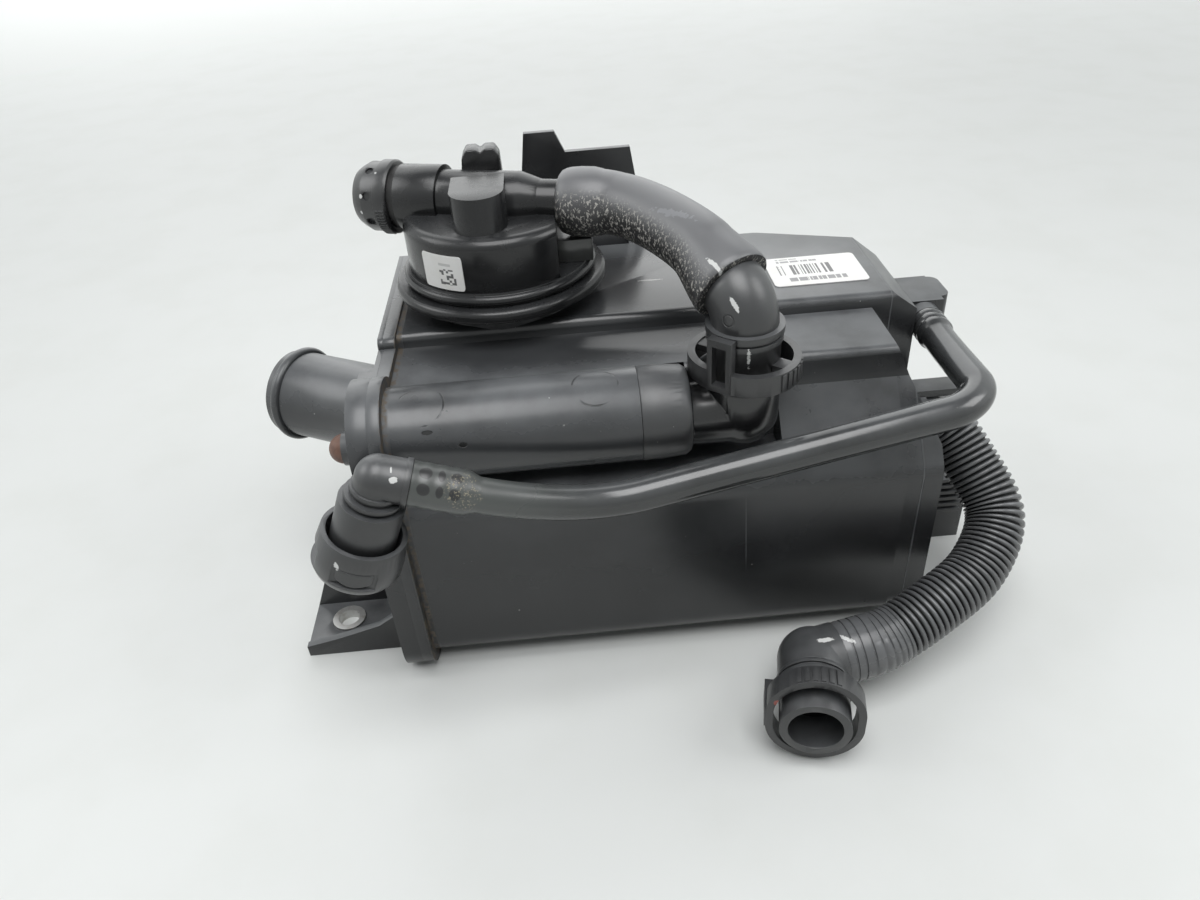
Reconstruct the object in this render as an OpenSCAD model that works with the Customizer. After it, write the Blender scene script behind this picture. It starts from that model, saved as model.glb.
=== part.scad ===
// Charcoal canister of a fuel tank vent system, with its leak-diagnosis pump, hose, pipes and
// quick connectors. Millimetres, x along the casing, y to the back, z up, floor at z = 0.

/* [Casing] */
// Left end of the casing walls
rim_x = -102; // [-108:1:-98]
// Right end of the rear block
end_x = 100; // [98:1:104]
// Front wall of the lower chamber
front_y = -60; // [-62:0.5:-58]
// Back wall
back_y = 66; // [65:1:70]
// Top of the lower chamber
chamber_top_z = 86; // [84:0.5:87]
// Edge radius of the lower chamber
chamber_r = 11; // [8:0.5:14]
// Front wall of the terrace
terrace_y = -36; // [-37:0.5:-35]
// Height of the terrace
terrace_z = 119.5; // [117:0.5:120.5]
// Front wall of the raised roof
roof_y = -5; // [-8:0.5:-3]
// Height of the raised roof
roof_z = 125; // [123:0.5:127]
// Edge radius of terrace and roof
roof_r = 3; // [2:0.5:4]
// Wall thickness of the casing
wall = 2.5; // [2:0.1:3]
// Thickness of the casing rim
rim_w = 4.5; // [4:0.5:6]
// How far the rim stands out of the walls
rim_out = 5; // [4:0.5:6]
// Start of the set-back end band of the lower chamber
band_x = 83; // [80:0.5:86]
// Right end of the lower chamber
band_end_x = 97; // [95:0.5:97.5]
// Depth of the step to the end band
band_step = 1.5; // [1:0.1:2]
// Top end of the sloping right side of the terrace
terrace_end_x = 82; // [81:0.5:84]
// Start of the sloping right side of the roof
roof_end_x = 90; // [88:0.5:92]
// Drop of the sloping right side of the roof
roof_drop = 7.5; // [6:0.5:10]
// Depth of the back corner cut, seen from above
corner_cut = 20; // [15:1:22]
// Start of the back corner cut
corner_x = 43; // [40:1:48]
// Left end of the sloping shoulder in front of the terrace
shoulder_x = 38; // [37.5:0.5:42]
// Top of the sloping shoulder
shoulder_z = 107; // [104:0.5:110]

/* [Scrubber tube] */
// Axis of the tube, front to back
tube_y = -45; // [-46:0.5:-44]
// Axis of the tube, height
tube_z = 107; // [106:0.5:108]
// Outer radius of the tube
tube_r = 17; // [16.5:0.5:17.5]
// Right end of the tube
tube_end_x = -14; // [-18:1:-12]
// Length of the tapered cap
cap_len = 18; // [16:0.5:19]
// How much the cap narrows
cap_taper = 1; // [0.6:0.1:1.4]
// Outer radius of the neck
neck_r = 11.7; // [11:0.1:12.2]
// Height of the neck axis
neck_z = 105; // [104:0.5:106]
// Position of the upright elbow
riser_x = 23.5; // [22:0.5:25]
// Outer radius of the upright elbow
riser_r = 13; // [12.6:0.1:13.4]
// Top of the upright elbow
riser_top_z = 118; // [117:0.5:119]
// Outer radius of the male spigot
spigot_r = 9.4; // [9:0.1:9.6]
// Length of the male spigot
spigot_len = 15; // [14:0.5:16]

/* [End cover] */
// Thickness of the cover
cover_w = 7; // [6:0.5:8]
// Thickness of the thin back part of the cover
skin_w = 2; // [1.6:0.1:2.6]
// Back end of the thick part of the cover
lobe_y = -26; // [-27:0.5:-25]
// Outer radius of the wide port
port_r = 17.5; // [16.5:0.5:18]
// Length of the wide port
port_len = 52; // [48:1:56]
// Height of the wide port
port_z = 91; // [89:0.5:93]
// Root of the wide port, front to back
port_y = -6; // [-8:0.5:-3]
// Turn of the wide port towards the back
port_turn = 28; // [22:1:32]
// Height of the bead on the wide port
bead_h = 2; // [1.5:0.1:2.5]
// Outer radius of the brown plug
plug_r = 5.2; // [4.8:0.1:5.6]
// Length of the left bracket
ear_len = 44; // [42:0.5:46]
// Front side of the left bracket
ear_y = -47; // [-49:0.5:-45]
// Depth of the left bracket
ear_d = 29; // [27:0.5:32]
// Height of the left bracket at its root
ear_h = 24; // [20:0.5:27]
// Thickness of the bracket walls
ear_t = 4; // [3:0.5:5]
// Outer radius of the bracket sleeve
sleeve_r = 7; // [6:0.1:7.5]
// Bore radius of the bracket sleeve
sleeve_bore_r = 4.5; // [4:0.1:5]

/* [Brackets] */
// Width of the rear bracket
tower_w = 46; // [42:1:50]
// Left side of the rear bracket
tower_x = -49; // [-52:1:-46]
// Top of the rear bracket
tower_z = 173; // [168:1:176]
// Back face of the rear bracket
tower_y = 78; // [76:1:82]
// Plate thickness of the brackets
plate_t = 3; // [2.5:0.1:3.5]
// Right end of the ribbed bracket
foot_x = 134; // [130:1:136]
// Front face of the ribbed bracket
foot_y = -10; // [-11:0.5:-9]
// Height of the ribbed bracket
foot_h = 36; // [32:0.5:40]
// Number of ribs on the ribbed bracket
foot_ribs = 6; // [4:1:7]

/* [Pump] */
// Pump centre, left to right
pump_x = -61; // [-63:0.5:-59]
// Pump centre, front to back
pump_y = 27; // [25:0.5:28]
// Outer radius of the seat
seat_r = 31.5; // [30:0.5:31.5]
// Height of the seat
seat_h = 6; // [5:0.5:7]
// Outer radius of the base flange
flange_r = 42; // [41:0.5:43]
// Height of the base flange
flange_h = 5; // [4.5:0.5:6]
// Outer radius of the upper bead
collar_r = 38.4; // [38:0.1:39]
// Height of the upper bead
collar_h = 5; // [4:0.5:6]
// Outer radius of the housing
housing_r = 35.5; // [34.5:0.5:36]
// Height of the housing
housing_h = 20; // [19:0.5:21]
// Wall thickness of the housing
housing_t = 2.5; // [2:0.1:3]
// Flat side of the housing, from the centre
housing_flat = 23.5; // [23:0.5:24]
// Turn of the port axis
port_axis_turn = -17.3; // [-20:0.1:-15]
// Height of the port axis above the housing
port_rise = 2.5; // [2:0.1:3]
// Outer radius of the left port
inlet_r = 12.6; // [12.2:0.1:13]
// How far the left port stands out of the housing
inlet_out = 0.5; // [0.3:0.1:2]
// Outer radius of the air coupling
coupling_r = 14.1; // [13.8:0.1:14.6]
// Length of the air coupling
coupling_len = 15; // [14.5:0.5:17]
// Radius of the nipples on the pump
nipple_r = 9.5; // [9:0.1:10]
// Length of the thick body right of the pump's centre
body_len = 12; // [11:0.5:13]
// Outer radius of the right port
outlet_r = 8; // [7.8:0.1:8.4]
// Bore radius of the pump ports
pump_bore_r = 6.5; // [6:0.1:7]
// Radius of the round boss on the housing
boss_r = 10; // [9.5:0.1:10.5]
// Height of the round boss
boss_h = 13.5; // [12:0.5:15]
// Height of the post
post_h = 20; // [17:0.5:22]

/* [Pump hose] */
// Outer radius of the hose
hose_r = 11.4; // [11:0.1:11.8]
// Outer radius of the hose cuff at the pump
hose_start_r = 12.8; // [12.2:0.1:13.2]
// Outer radius of the hose cuff at the connector
hose_end_r = 14.2; // [13.8:0.1:14.5]
// Start of the hose from the pump centre
hose_start = 27.5; // [27.5:0.5:29]
// Bend radius of the hose elbow
elbow_bend = 12; // [11.8:0.1:13]
// Bend angle of the hose elbow
elbow_angle = 65; // [62:1:68]
// Direction of the hose end, seen from above
elbow_turn = 118; // [114:1:122]
// Outer radius of the hose elbow
elbow_r = 11.5; // [11.2:0.1:11.8]

/* [Quick connectors] */
// Outer radius of the connector barrels
barrel_r = 12.5; // [12.3:0.1:12.7]
// Bore radius of the connectors
socket_r = 9.5; // [9.3:0.1:9.7]
// Inner radius of the lock rings
ring_in_r = 14.5; // [14.3:0.1:14.8]
// Outer radius of the lock rings
ring_r = 17.2; // [16.8:0.1:17.6]
// Half of the straight run in the oval lock rings
ring_oval = 2.7; // [2:0.1:3]
// Height of the lock rings
ring_h = 7.5; // [7:0.5:8.5]
// Number of grip ribs on a lock ring
grip_ribs = 6; // [4:1:8]
// Radius of the seal wire in the connectors
seal_w = 1; // [0.8:0.1:1.2]

/* [Purge pipe] */
// Outer radius of the purge pipe
purge_r = 6; // [5.5:0.1:6.3]
// Bore radius of the purge pipe
purge_bore_r = 4.2; // [3.9:0.1:4.4]
// Position of the purge spigot, left to right
purge_x = 107; // [106:0.5:109]
// Height of the purge spigot
purge_z = 108; // [107:0.5:109]
// Bend radius at the right corner
purge_bend = 15; // [13:0.5:18]
// Lean of the purge connector to the left
purge_lean = 22.5; // [20:0.5:25]
// Radius of the purge elbow
purge_elbow_r = 7.6; // [7.3:0.1:7.9]
// Outer radius of the purge connector
purge_body_r = 11; // [10.5:0.1:11.5]
// Bore radius of the purge connector
purge_socket_r = 6.5; // [6:0.1:7]
// Outer radius of the purge lock clip
clip_r = 15.2; // [14.8:0.1:15.5]

/* [Vent pipe] */
// Outer radius of the corrugations
vent_r = 11; // [10.6:0.1:11.4]
// Depth of the corrugations
vent_depth = 1.3; // [1:0.1:1.6]
// Wall thickness in the corrugations
vent_t = 1; // [0.8:0.1:1.2]
// Number of corrugations
vent_waves = 38; // [34:1:42]
// Length of the smooth cuff
cuff_len = 28; // [24:1:30]
// Height of the vent spigot
vent_z = 76; // [74:0.5:77]
// Position of the vent spigot, front to back
vent_y = -22; // [-24:0.5:-20]

/* [Charge] */
// Left face of the charcoal beds
bed_x = -88; // [-92:1:-82]
// Thickness of the fleece pads
pad_t = 4; // [3:0.5:5]
// Thickness of the press plates
press_t = 3; // [2.5:0.5:4]
// Hole radius in the press plates
press_hole_r = 3; // [2:0.1:3.5]
// Wire radius of the springs
wire_r = 1; // [0.8:0.1:1.2]
// Coil radius of the springs
coil_r = 9; // [8:0.5:10]
// Channel size of the scrubber core
cell = 3; // [2.5:0.1:4]
// Wall between two channels of the scrubber core
cell_web = 0.8; // [0.6:0.1:1.2]

/* [Labels] */
// Place of the roof label along the casing
label_x = 47; // [44:0.5:50]
// Place of the roof label, front to back
label_y = 8; // [6:0.5:10]
// Length of the roof label
label_len = 38; // [34:0.5:40]
// Depth of the roof label
label_d = 26; // [22:0.5:28]

/* [Fits] */
// Clearance between nested pieces
fit = 0.15; // [0.1:0.05:0.25]
// Thickness of the labels
label_t = 0.3; // [0.2:0.05:0.4]

/* [Hidden] */
$fn = 64;
home = [12.54, 24.1, 0];
base_z = rim_out;
part_y = roof_y;
cover_x = rim_x - rim_w - cover_w;
skin_x = rim_x - rim_w - skin_w;
cap_end_x = tube_end_x + cap_len;
seat_z = roof_z + seat_h;
deck_z = seat_z + flange_h + collar_h;
crown_z = deck_z + housing_h;
axis_z = crown_z + port_rise;
inlet_reach = housing_r + inlet_out;
main_mid_y = (part_y + back_y) / 2;
front_mid_y = (front_y + part_y) / 2;
front_cav_x = 76;
main_cav_x = 80;

function unit(v) = v / norm(v);
function turned(v, tilt, az) =
    let (x1 = v.x * cos(tilt) + v.z * sin(tilt))
    let (z1 = v.z * cos(tilt) - v.x * sin(tilt))
    [x1 * cos(az) - v.y * sin(az), x1 * sin(az) + v.y * cos(az), z1];
function hermite(a, b, da, db, t) =
    a * (2 * pow(t, 3) - 3 * pow(t, 2) + 1) + da * (pow(t, 3) - 2 * pow(t, 2) + t)
    + b * (3 * pow(t, 2) - 2 * pow(t, 3)) + db * (pow(t, 3) - pow(t, 2));
function knot_slope(k, i, da, db) =
    i == 0 ? da : i == len(k) - 1 ? db : (k[i + 1] - k[i - 1]) / 2;
function curve_at(k, da, db, u) =
    let (n = len(k) - 1)
    let (i = min(floor(u * n), n - 1))
    hermite(k[i], k[i + 1], knot_slope(k, i, da, db), knot_slope(k, i + 1, da, db), u * n - i);
function headings(p, first, last) =
    [for (i = [0 : len(p) - 1]) i == 0 ? first : i == len(p) - 1 ? last : unit(p[i + 1] - p[i - 1])];
function sides_of(h, n, i) =
    i == len(h) ? [] : let (m = unit(n - (n * h[i]) * h[i])) concat([m], sides_of(h, m, i + 1));
function ring_points(p, h, s, r, i, n) =
    let (b = cross(h[i], s[i]))
    [for (j = [0 : n - 1]) p[i] + r * (cos(360 * j / n) * s[i] + sin(360 * j / n) * b)];

// Hose or pipe along a list of points, with an outer radius and a bore radius at each point
module swept_pipe(p, outer, bore, first, last, start_side, n, skip) {
    h = headings(p, first, last);
    s = sides_of(h, start_side, 0);
    count = len(p);
    inner = [for (i = [0 : count - 1]) if (i % skip == 0 || i == count - 1) i];
    outside = [for (i = [0 : count - 1]) each ring_points(p, h, s, outer[i], i, n)];
    inside = [for (i = inner) each ring_points(p, h, s, bore[i], i, n)];
    o = count * n;
    e = len(inner);
    skin = [for (i = [0 : count - 2]) for (j = [0 : n - 1])
        let (k = (j + 1) % n)
        each [[i * n + j, (i + 1) * n + j, (i + 1) * n + k], [i * n + j, (i + 1) * n + k, i * n + k]]];
    lining = [for (i = [0 : e - 2]) for (j = [0 : n - 1])
        let (k = (j + 1) % n)
        each [[o + i * n + j, o + (i + 1) * n + k, o + (i + 1) * n + j],
              [o + i * n + j, o + i * n + k, o + (i + 1) * n + k]]];
    head = [for (j = [0 : n - 1])
        let (k = (j + 1) % n)
        each [[j, k, o + k], [j, o + k, o + j]]];
    a = (count - 1) * n;
    b = o + (e - 1) * n;
    tail = [for (j = [0 : n - 1])
        let (k = (j + 1) % n)
        each [[a + j, b + k, a + k], [a + j, b + j, b + k]]];
    polyhedron(points = concat(outside, inside), faces = concat(skin, lining, head, tail));
}

// Round wire along a list of points
module swept_wire(p, r, first, last, start_side, n) {
    h = headings(p, first, last);
    s = sides_of(h, start_side, 0);
    count = len(p);
    points = [for (i = [0 : count - 1]) each ring_points(p, h, s, r, i, n)];
    skin = [for (i = [0 : count - 2]) for (j = [0 : n - 1])
        let (k = (j + 1) % n)
        each [[i * n + j, (i + 1) * n + j, (i + 1) * n + k], [i * n + j, (i + 1) * n + k, i * n + k]]];
    head = [[for (j = [0 : n - 1]) j]];
    tail = [[for (j = [0 : n - 1]) count * n - 1 - j]];
    polyhedron(points = points, faces = concat(skin, head, tail));
}

// Profile in y and z drawn out along x
module along_x(x0, x1) {
    translate([x0, 0, 0])
        rotate([90, 0, 90])
            linear_extrude(x1 - x0)
                children();
}

// Profile in x and z drawn out along y
module along_y(y0, y1) {
    translate([0, y1, 0])
        rotate([90, 0, 0])
            linear_extrude(y1 - y0)
                children();
}

// Local z axis turned to a direction
module aimed(p, tilt, az) {
    translate(p)
        rotate([0, tilt, az])
            children();
}

module rounded_panel(y0, y1, z0, z1, r) {
    translate([y0 + r, z0])
        square([y1 - y0 - 2 * r, z1 - z0]);
    translate([y0, z0 + r])
        square([y1 - y0, z1 - z0 - 2 * r]);
    for (y = [y0 + r, y1 - r])
        for (z = [z0 + r, z1 - r])
            translate([y, z])
                circle(r);
}

// Bent round bar that starts along z and bends towards x
module bend(r, bend_r, angle) {
    translate([bend_r, 0, 0])
        rotate([90, 0, 180])
            rotate_extrude(angle = angle)
                translate([bend_r, 0])
                    circle(r);
}

// Bent round bar with short straight ends, so that it joins what it meets
module elbow_bar(r, bend_r, angle, lead) {
    bend(r, bend_r, angle);
    translate([0, 0, -lead])
        cylinder(r = r - 0.04, h = lead + 0.6);
    translate([bend_r * (1 - cos(angle)), 0, bend_r * sin(angle)])
        rotate([0, angle, 0])
            translate([0, 0, -0.6])
                cylinder(r = r - 0.04, h = lead + 0.6);
}

module ring(r0, r1, z0, z1) {
    translate([0, 0, z0])
        difference() {
            cylinder(r = r1, h = z1 - z0);
            translate([0, 0, -1])
                cylinder(r = r0, h = z1 - z0 + 2);
        }
}

/* Casing */

module rim_outline(g) {
    rounded_panel(front_y - g, back_y + g, base_z - g, chamber_top_z + g, chamber_r + g);
    rounded_panel(terrace_y - g, back_y + g, 60, terrace_z + 3, roof_r);
    rounded_panel(roof_y - g, back_y + g, 60, roof_z + 1, roof_r);
    translate([tube_y, tube_z])
        circle(tube_r + g - 1);
}

module plan_cut(inset) {
    translate([0, 0, -10])
        linear_extrude(200)
            polygon([[rim_x - 40, -200], [end_x, -200], [end_x, back_y - corner_cut - inset],
                [corner_x, back_y - inset], [rim_x - 40, back_y - inset]]);
}

module lower_block() {
    along_x(rim_x, band_x)
        rounded_panel(front_y, back_y, base_z, chamber_top_z, chamber_r);
    along_x(rim_x, band_end_x)
        rounded_panel(front_y + band_step, back_y - band_step, base_z + band_step, chamber_top_z - band_step,
            chamber_r - band_step);
}

// Slope from the terrace wall that runs tangent into the rounded edge of the lower chamber
module shoulder_profile(inset) {
    r = chamber_r - inset;
    c = [front_y + chamber_r, chamber_top_z - chamber_r];
    top = [terrace_y, shoulder_z];
    turn = atan2(top.y - c.y, top.x - c.x) + acos(r / norm(top - c));
    polygon([[terrace_y + 4, c.y], [terrace_y + 4, top.y], top, c + r * [cos(turn), sin(turn)], c]);
}

module terrace_block() {
    intersection() {
        union() {
            along_x(rim_x, band_end_x)
                rounded_panel(terrace_y, back_y, 60, terrace_z, roof_r);
            along_x(shoulder_x, band_x)
                shoulder_profile(0);
            along_x(shoulder_x, band_end_x)
                shoulder_profile(band_step);
        }
        along_y(-100, 100)
            polygon([[rim_x, 50], [band_end_x, 50], [band_end_x, chamber_top_z], [terrace_end_x, terrace_z],
                [rim_x, terrace_z]]);
    }
}

module roof_block() {
    intersection() {
        along_x(rim_x, end_x)
            rounded_panel(roof_y, back_y, base_z + band_step, roof_z, roof_r);
        along_y(-100, 100)
            polygon([[rim_x, 0], [end_x, 0], [end_x, roof_z - roof_drop], [roof_end_x, roof_z],
                [rim_x, roof_z]]);
    }
}

module front_cavity(x0, x1, shrink) {
    s = wall + shrink;
    along_x(x0, x1) {
        rounded_panel(front_y + s, part_y - s, base_z + s, chamber_top_z - s, chamber_r - wall);
        rounded_panel(tube_y + tube_r + 0.6 + shrink, part_y - s, 60, terrace_z - s, roof_r);
    }
}

module main_cavity(x0, x1, shrink) {
    s = wall + shrink;
    intersection() {
        along_x(x0, x1)
            rounded_panel(part_y + shrink, back_y - s, base_z + s, roof_z - s, roof_r + 3);
        plan_cut(s);
    }
}

module tube_cavity(x0, x1, shrink) {
    translate([x0, tube_y, tube_z])
        rotate([0, 90, 0])
            cylinder(r = tube_r - wall - shrink, h = x1 - x0);
}

module tower() {
    slope = 9;
    along_y(tower_y - plate_t, tower_y)
        polygon([[tower_x - slope, roof_z - 22], [tower_x + tower_w + slope, roof_z - 22],
            [tower_x + tower_w, tower_z - 9], [tower_x + 18, tower_z - 9], [tower_x + 14, tower_z],
            [tower_x + 1, tower_z]]);
    for (x = [tower_x, tower_x + tower_w / 2, tower_x + tower_w - plate_t])
        along_x(x, x + plate_t)
            polygon([[back_y - 2, roof_z - 22], [tower_y - 1, roof_z - 22], [tower_y - 1, roof_z + 18],
                [back_y - 2, roof_z - 3]]);
    translate([tower_x - slope, back_y - 2, roof_z - 22])
        cube([tower_w + 2 * slope, tower_y - back_y + 1, plate_t]);
}

module ribbed_foot() {
    translate([end_x - 2, foot_y, 0])
        cube([foot_x - end_x + 2, 9, foot_h]);
    for (i = [0 : foot_ribs - 1])
        translate([end_x - 2, foot_y - 3, foot_h - 3.4 * i - 1.6])
            cube([foot_x - end_x - 1, 5, 1.6]);
    translate([end_x - 2, foot_y + 7, 0])
        cube([foot_x - end_x + 2, 24, plate_t]);
}

module purge_block() {
    translate([end_x - 2, 5, purge_z - 8])
        cube([17, 22, 15]);
    translate([end_x + 15, 12, purge_z - 8])
        cylinder(r = 4, h = 15);
    translate([end_x + 15, 22, purge_z - 8])
        cylinder(r = 4, h = 15);
    translate([end_x + 12, 12, purge_z - 8])
        cube([7, 10, 15]);
    translate([purge_x, 6, purge_z])
        rotate([90, 0, 0])
            cylinder(r = purge_bore_r - fit, h = 18);
    translate([purge_x, 6, purge_z])
        rotate([90, 0, 0])
            cylinder(r = purge_r + 0.6, h = 6);
}

module vent_spigot() {
    translate([end_x - 6, vent_y, vent_z])
        rotate([0, 90, 0])
            cylinder(r = vent_r - vent_depth - vent_t - fit, h = 11.5);
    translate([band_end_x - 12, vent_y, vent_z])
        rotate([0, 90, 0])
            cylinder(r = vent_r + 1.4, h = end_x - band_end_x + 13);
}

module shelf() {
    translate([band_end_x - 3, vent_y - 2, chamber_top_z + 2])
        cube([23, 9, plate_t]);
}

// Room in the terrace wall for the scrubber cap with its neck and upright elbow
module cap_pocket() {
    translate([tube_end_x, tube_y, tube_z])
        rotate([0, 90, 0])
            cylinder(r = tube_r + fit, h = cap_len + fit);
    translate([cap_end_x - 1, tube_y, neck_z])
        rotate([0, 90, 0])
            cylinder(r = neck_r + 2 * fit, h = riser_x - cap_end_x + 1);
    translate([riser_x, tube_y, neck_z])
        sphere(r = riser_r + 2 * fit);
    translate([riser_x, tube_y, neck_z])
        cylinder(r = riser_r + 2 * fit, h = 30);
}

module canister_shell() {
    translate(home)
        color([0.16, 0.17, 0.18])
            difference() {
                union() {
                    intersection() {
                        union() {
                            lower_block();
                            terrace_block();
                            roof_block();
                        }
                        plan_cut(0);
                    }
                    along_x(rim_x - rim_w, rim_x)
                        rim_outline(rim_out);
                    translate([rim_x - 1, tube_y, tube_z])
                        rotate([0, 90, 0])
                            cylinder(r = tube_r, h = tube_end_x - rim_x + 1);
                    translate([pump_x, pump_y, roof_z - 3])
                        cylinder(r = seat_r, h = seat_h + 3);
                    tower();
                    ribbed_foot();
                    purge_block();
                    vent_spigot();
                    shelf();
                }
                front_cavity(rim_x - rim_w - 1, front_cav_x, 0);
                main_cavity(rim_x - rim_w - 1, main_cav_x, 0);
                tube_cavity(rim_x - rim_w - 1, tube_end_x + 1, 0);
                cap_pocket();
                translate([front_cav_x - 14, part_y - wall - 1, 30])
                    cube([12, wall + 2, 40]);
                translate([pump_x, pump_y, seat_z - 2])
                    ring(seat_r - 5.5, seat_r - 2.5, 0, 3);
                translate([purge_x, 24, purge_z])
                    rotate([90, 0, 0])
                        cylinder(r = purge_bore_r - 1.4, h = 40);
                translate([main_cav_x - 2, 17, purge_z])
                    rotate([0, 90, 0])
                        cylinder(r = purge_bore_r - 1.4, h = purge_x - main_cav_x + 2);
                translate([front_cav_x - 2, vent_y, vent_z])
                    rotate([0, 90, 0])
                        cylinder(r = vent_r - vent_depth - vent_t - 2, h = 60);
            }
}

/* End cover */

module cover_port(r, l) {
    aimed([skin_x + 1, port_y, port_z], 90, 180 - port_turn)
        cylinder(r = r, h = l);
}

module left_ear() {
    x0 = cover_x - ear_len;
    along_y(ear_y, ear_y + ear_t - 1)
        polygon([[skin_x + 1, 0], [skin_x + 1, ear_h + 2], [cover_x - 12, ear_h - 10],
            [cover_x - 29, ear_h - 15], [x0, ear_t + 1.5], [x0, 0]]);
    along_y(ear_y + ear_d - ear_t + 1, ear_y + ear_d)
        polygon([[skin_x + 1, 0], [skin_x + 1, ear_h], [x0 + 7, ear_h - 3], [x0, ear_t], [x0, 0]]);
    translate([x0, ear_y, 0])
        cube([skin_x + 1 - x0, ear_d, ear_t]);
}

ear_hole = [cover_x - 29, ear_y + 16];
plug_p = [cover_x - 12.5, port_y - port_r - 2.5, port_z - 1];

module end_cover() {
    translate(home)
        color([0.17, 0.18, 0.19])
            difference() {
                union() {
                    along_x(skin_x, rim_x - rim_w)
                        rim_outline(rim_out);
                    intersection() {
                        along_x(cover_x, rim_x - rim_w)
                            rim_outline(rim_out);
                        translate([cover_x - 1, -120, -1])
                            cube([cover_w + 2, 120 + lobe_y, 200]);
                    }
                    cover_port(port_r, port_len);
                    aimed([skin_x + 1, port_y, port_z], 90, 180 - port_turn)
                        rotate_extrude()
                            translate([port_r, port_len - 5])
                                circle(bead_h);
                    cover_port(port_r + bead_h * 0.7, 9);
                    left_ear();
                    translate(plug_p)
                        rotate([0, 90, 0])
                            cylinder(r = plug_r + 1.4, h = skin_x - plug_p.x + 1);
                }
                tube_cavity(cover_x + 2.5, rim_x, 0);
                along_x(cover_x + 2.5, rim_x)
                    translate([tube_y - 4, chamber_top_z - 14])
                        square([8, 14]);
                aimed([skin_x + 1, port_y, port_z], 90, 180 - port_turn)
                    translate([0, 0, -14])
                        cylinder(r = port_r - 2.2, h = port_len + 20);
                translate([ear_hole.x, ear_hole.y, -1])
                    cylinder(r = sleeve_r + fit, h = ear_t + 2);
                translate(plug_p)
                    rotate([0, 90, 0])
                        translate([0, 0, -1])
                            cylinder(r = plug_r - 1, h = 7);
            }
}

module bracket_sleeve() {
    translate(home)
        color([0.62, 0.63, 0.63])
            translate([ear_hole.x, ear_hole.y, 0])
                ring(sleeve_bore_r, sleeve_r, 0, ear_t + 0.6);
}

module cover_plug() {
    translate(home)
        color([0.5, 0.38, 0.32])
            translate(plug_p)
                rotate([0, -90, 0]) {
                    translate([0, 0, -5])
                        cylinder(r = plug_r - 1 - fit, h = 6);
                    difference() {
                        sphere(r = plug_r + 0.6);
                        translate([0, 0, -20])
                            cylinder(r = 20, h = 20);
                    }
                }
}

/* Charge */

module main_charcoal() {
    translate(home)
        color([0.08, 0.08, 0.08])
            main_cavity(bed_x, main_cav_x - pad_t, fit);
}

module front_charcoal() {
    translate(home)
        color([0.08, 0.08, 0.08])
            front_cavity(bed_x, front_cav_x - pad_t, fit);
}

module main_fleece_pads() {
    translate(home)
        color([0.85, 0.85, 0.82]) {
            main_cavity(bed_x - pad_t, bed_x, fit);
            main_cavity(main_cav_x - pad_t, main_cav_x, fit);
        }
}

module front_fleece_pads() {
    translate(home)
        color([0.85, 0.85, 0.82]) {
            front_cavity(bed_x - pad_t, bed_x, fit);
            front_cavity(front_cav_x - pad_t, front_cav_x, fit);
        }
}

press_x = bed_x - pad_t - press_t;

module main_press_plate() {
    translate(home)
        color([0.2, 0.2, 0.21])
            difference() {
                main_cavity(press_x, press_x + press_t, fit);
                for (y = [part_y + 12 : 11 : back_y - 10])
                    for (z = [20 : 16 : roof_z - 12])
                        translate([press_x - 1, y, z])
                            rotate([0, 90, 0])
                                cylinder(r = press_hole_r, h = press_t + 2);
            }
}

module front_press_plate() {
    translate(home)
        color([0.2, 0.2, 0.21])
            difference() {
                front_cavity(press_x, press_x + press_t, fit);
                for (y = [front_y + 12 : 11 : part_y - 10])
                    for (z = [20 : 16 : chamber_top_z - 12])
                        translate([press_x - 1, y, z])
                            rotate([0, 90, 0])
                                cylinder(r = press_hole_r, h = press_t + 2);
            }
}

module press_spring(y, z) {
    turns = 4;
    steps = 12 * turns;
    x0 = rim_x - rim_w + wire_r;
    x1 = press_x - wire_r;
    p = [for (i = [0 : steps])
        [x0 + (x1 - x0) * i / steps, y + coil_r * cos(30 * i), z + coil_r * sin(30 * i)]];
    swept_wire(p, wire_r, [0, 0, 1], [0, 0, 1], [0, 1, 0], 6);
}

module press_springs() {
    translate(home)
        color([0.6, 0.6, 0.62]) {
            press_spring(main_mid_y, 0.27 * roof_z);
            press_spring(main_mid_y, 0.73 * roof_z);
            press_spring(front_mid_y, 0.37 * roof_z);
        }
}

module scrubber_core() {
    r = tube_r - wall - 3;
    pitch = cell + cell_web;
    reach = floor((r - cell / 2 - cell_web) / pitch);
    translate(home)
        color([0.12, 0.12, 0.12])
            translate([rim_x + 10, tube_y, tube_z])
                rotate([0, 90, 0])
                    difference() {
                        cylinder(r = r, h = tube_end_x - rim_x - 24);
                        for (u = [-reach : reach])
                            for (v = [-reach : reach])
                                if (norm([u, v]) * pitch + cell / sqrt(2) < r - cell_web)
                                    translate([u * pitch - cell / 2, v * pitch - cell / 2, -1])
                                        cube([cell, cell, tube_end_x - rim_x]);
                    }
}

module scrubber_seals() {
    r = tube_r - wall - 3;
    translate(home)
        color([0.1, 0.1, 0.1])
            for (x = [rim_x + 16, tube_end_x - 24])
                translate([x, tube_y, tube_z])
                    rotate([0, 90, 0])
                        ring(r + fit, tube_r - wall - fit, 0, 4);
}

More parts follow.
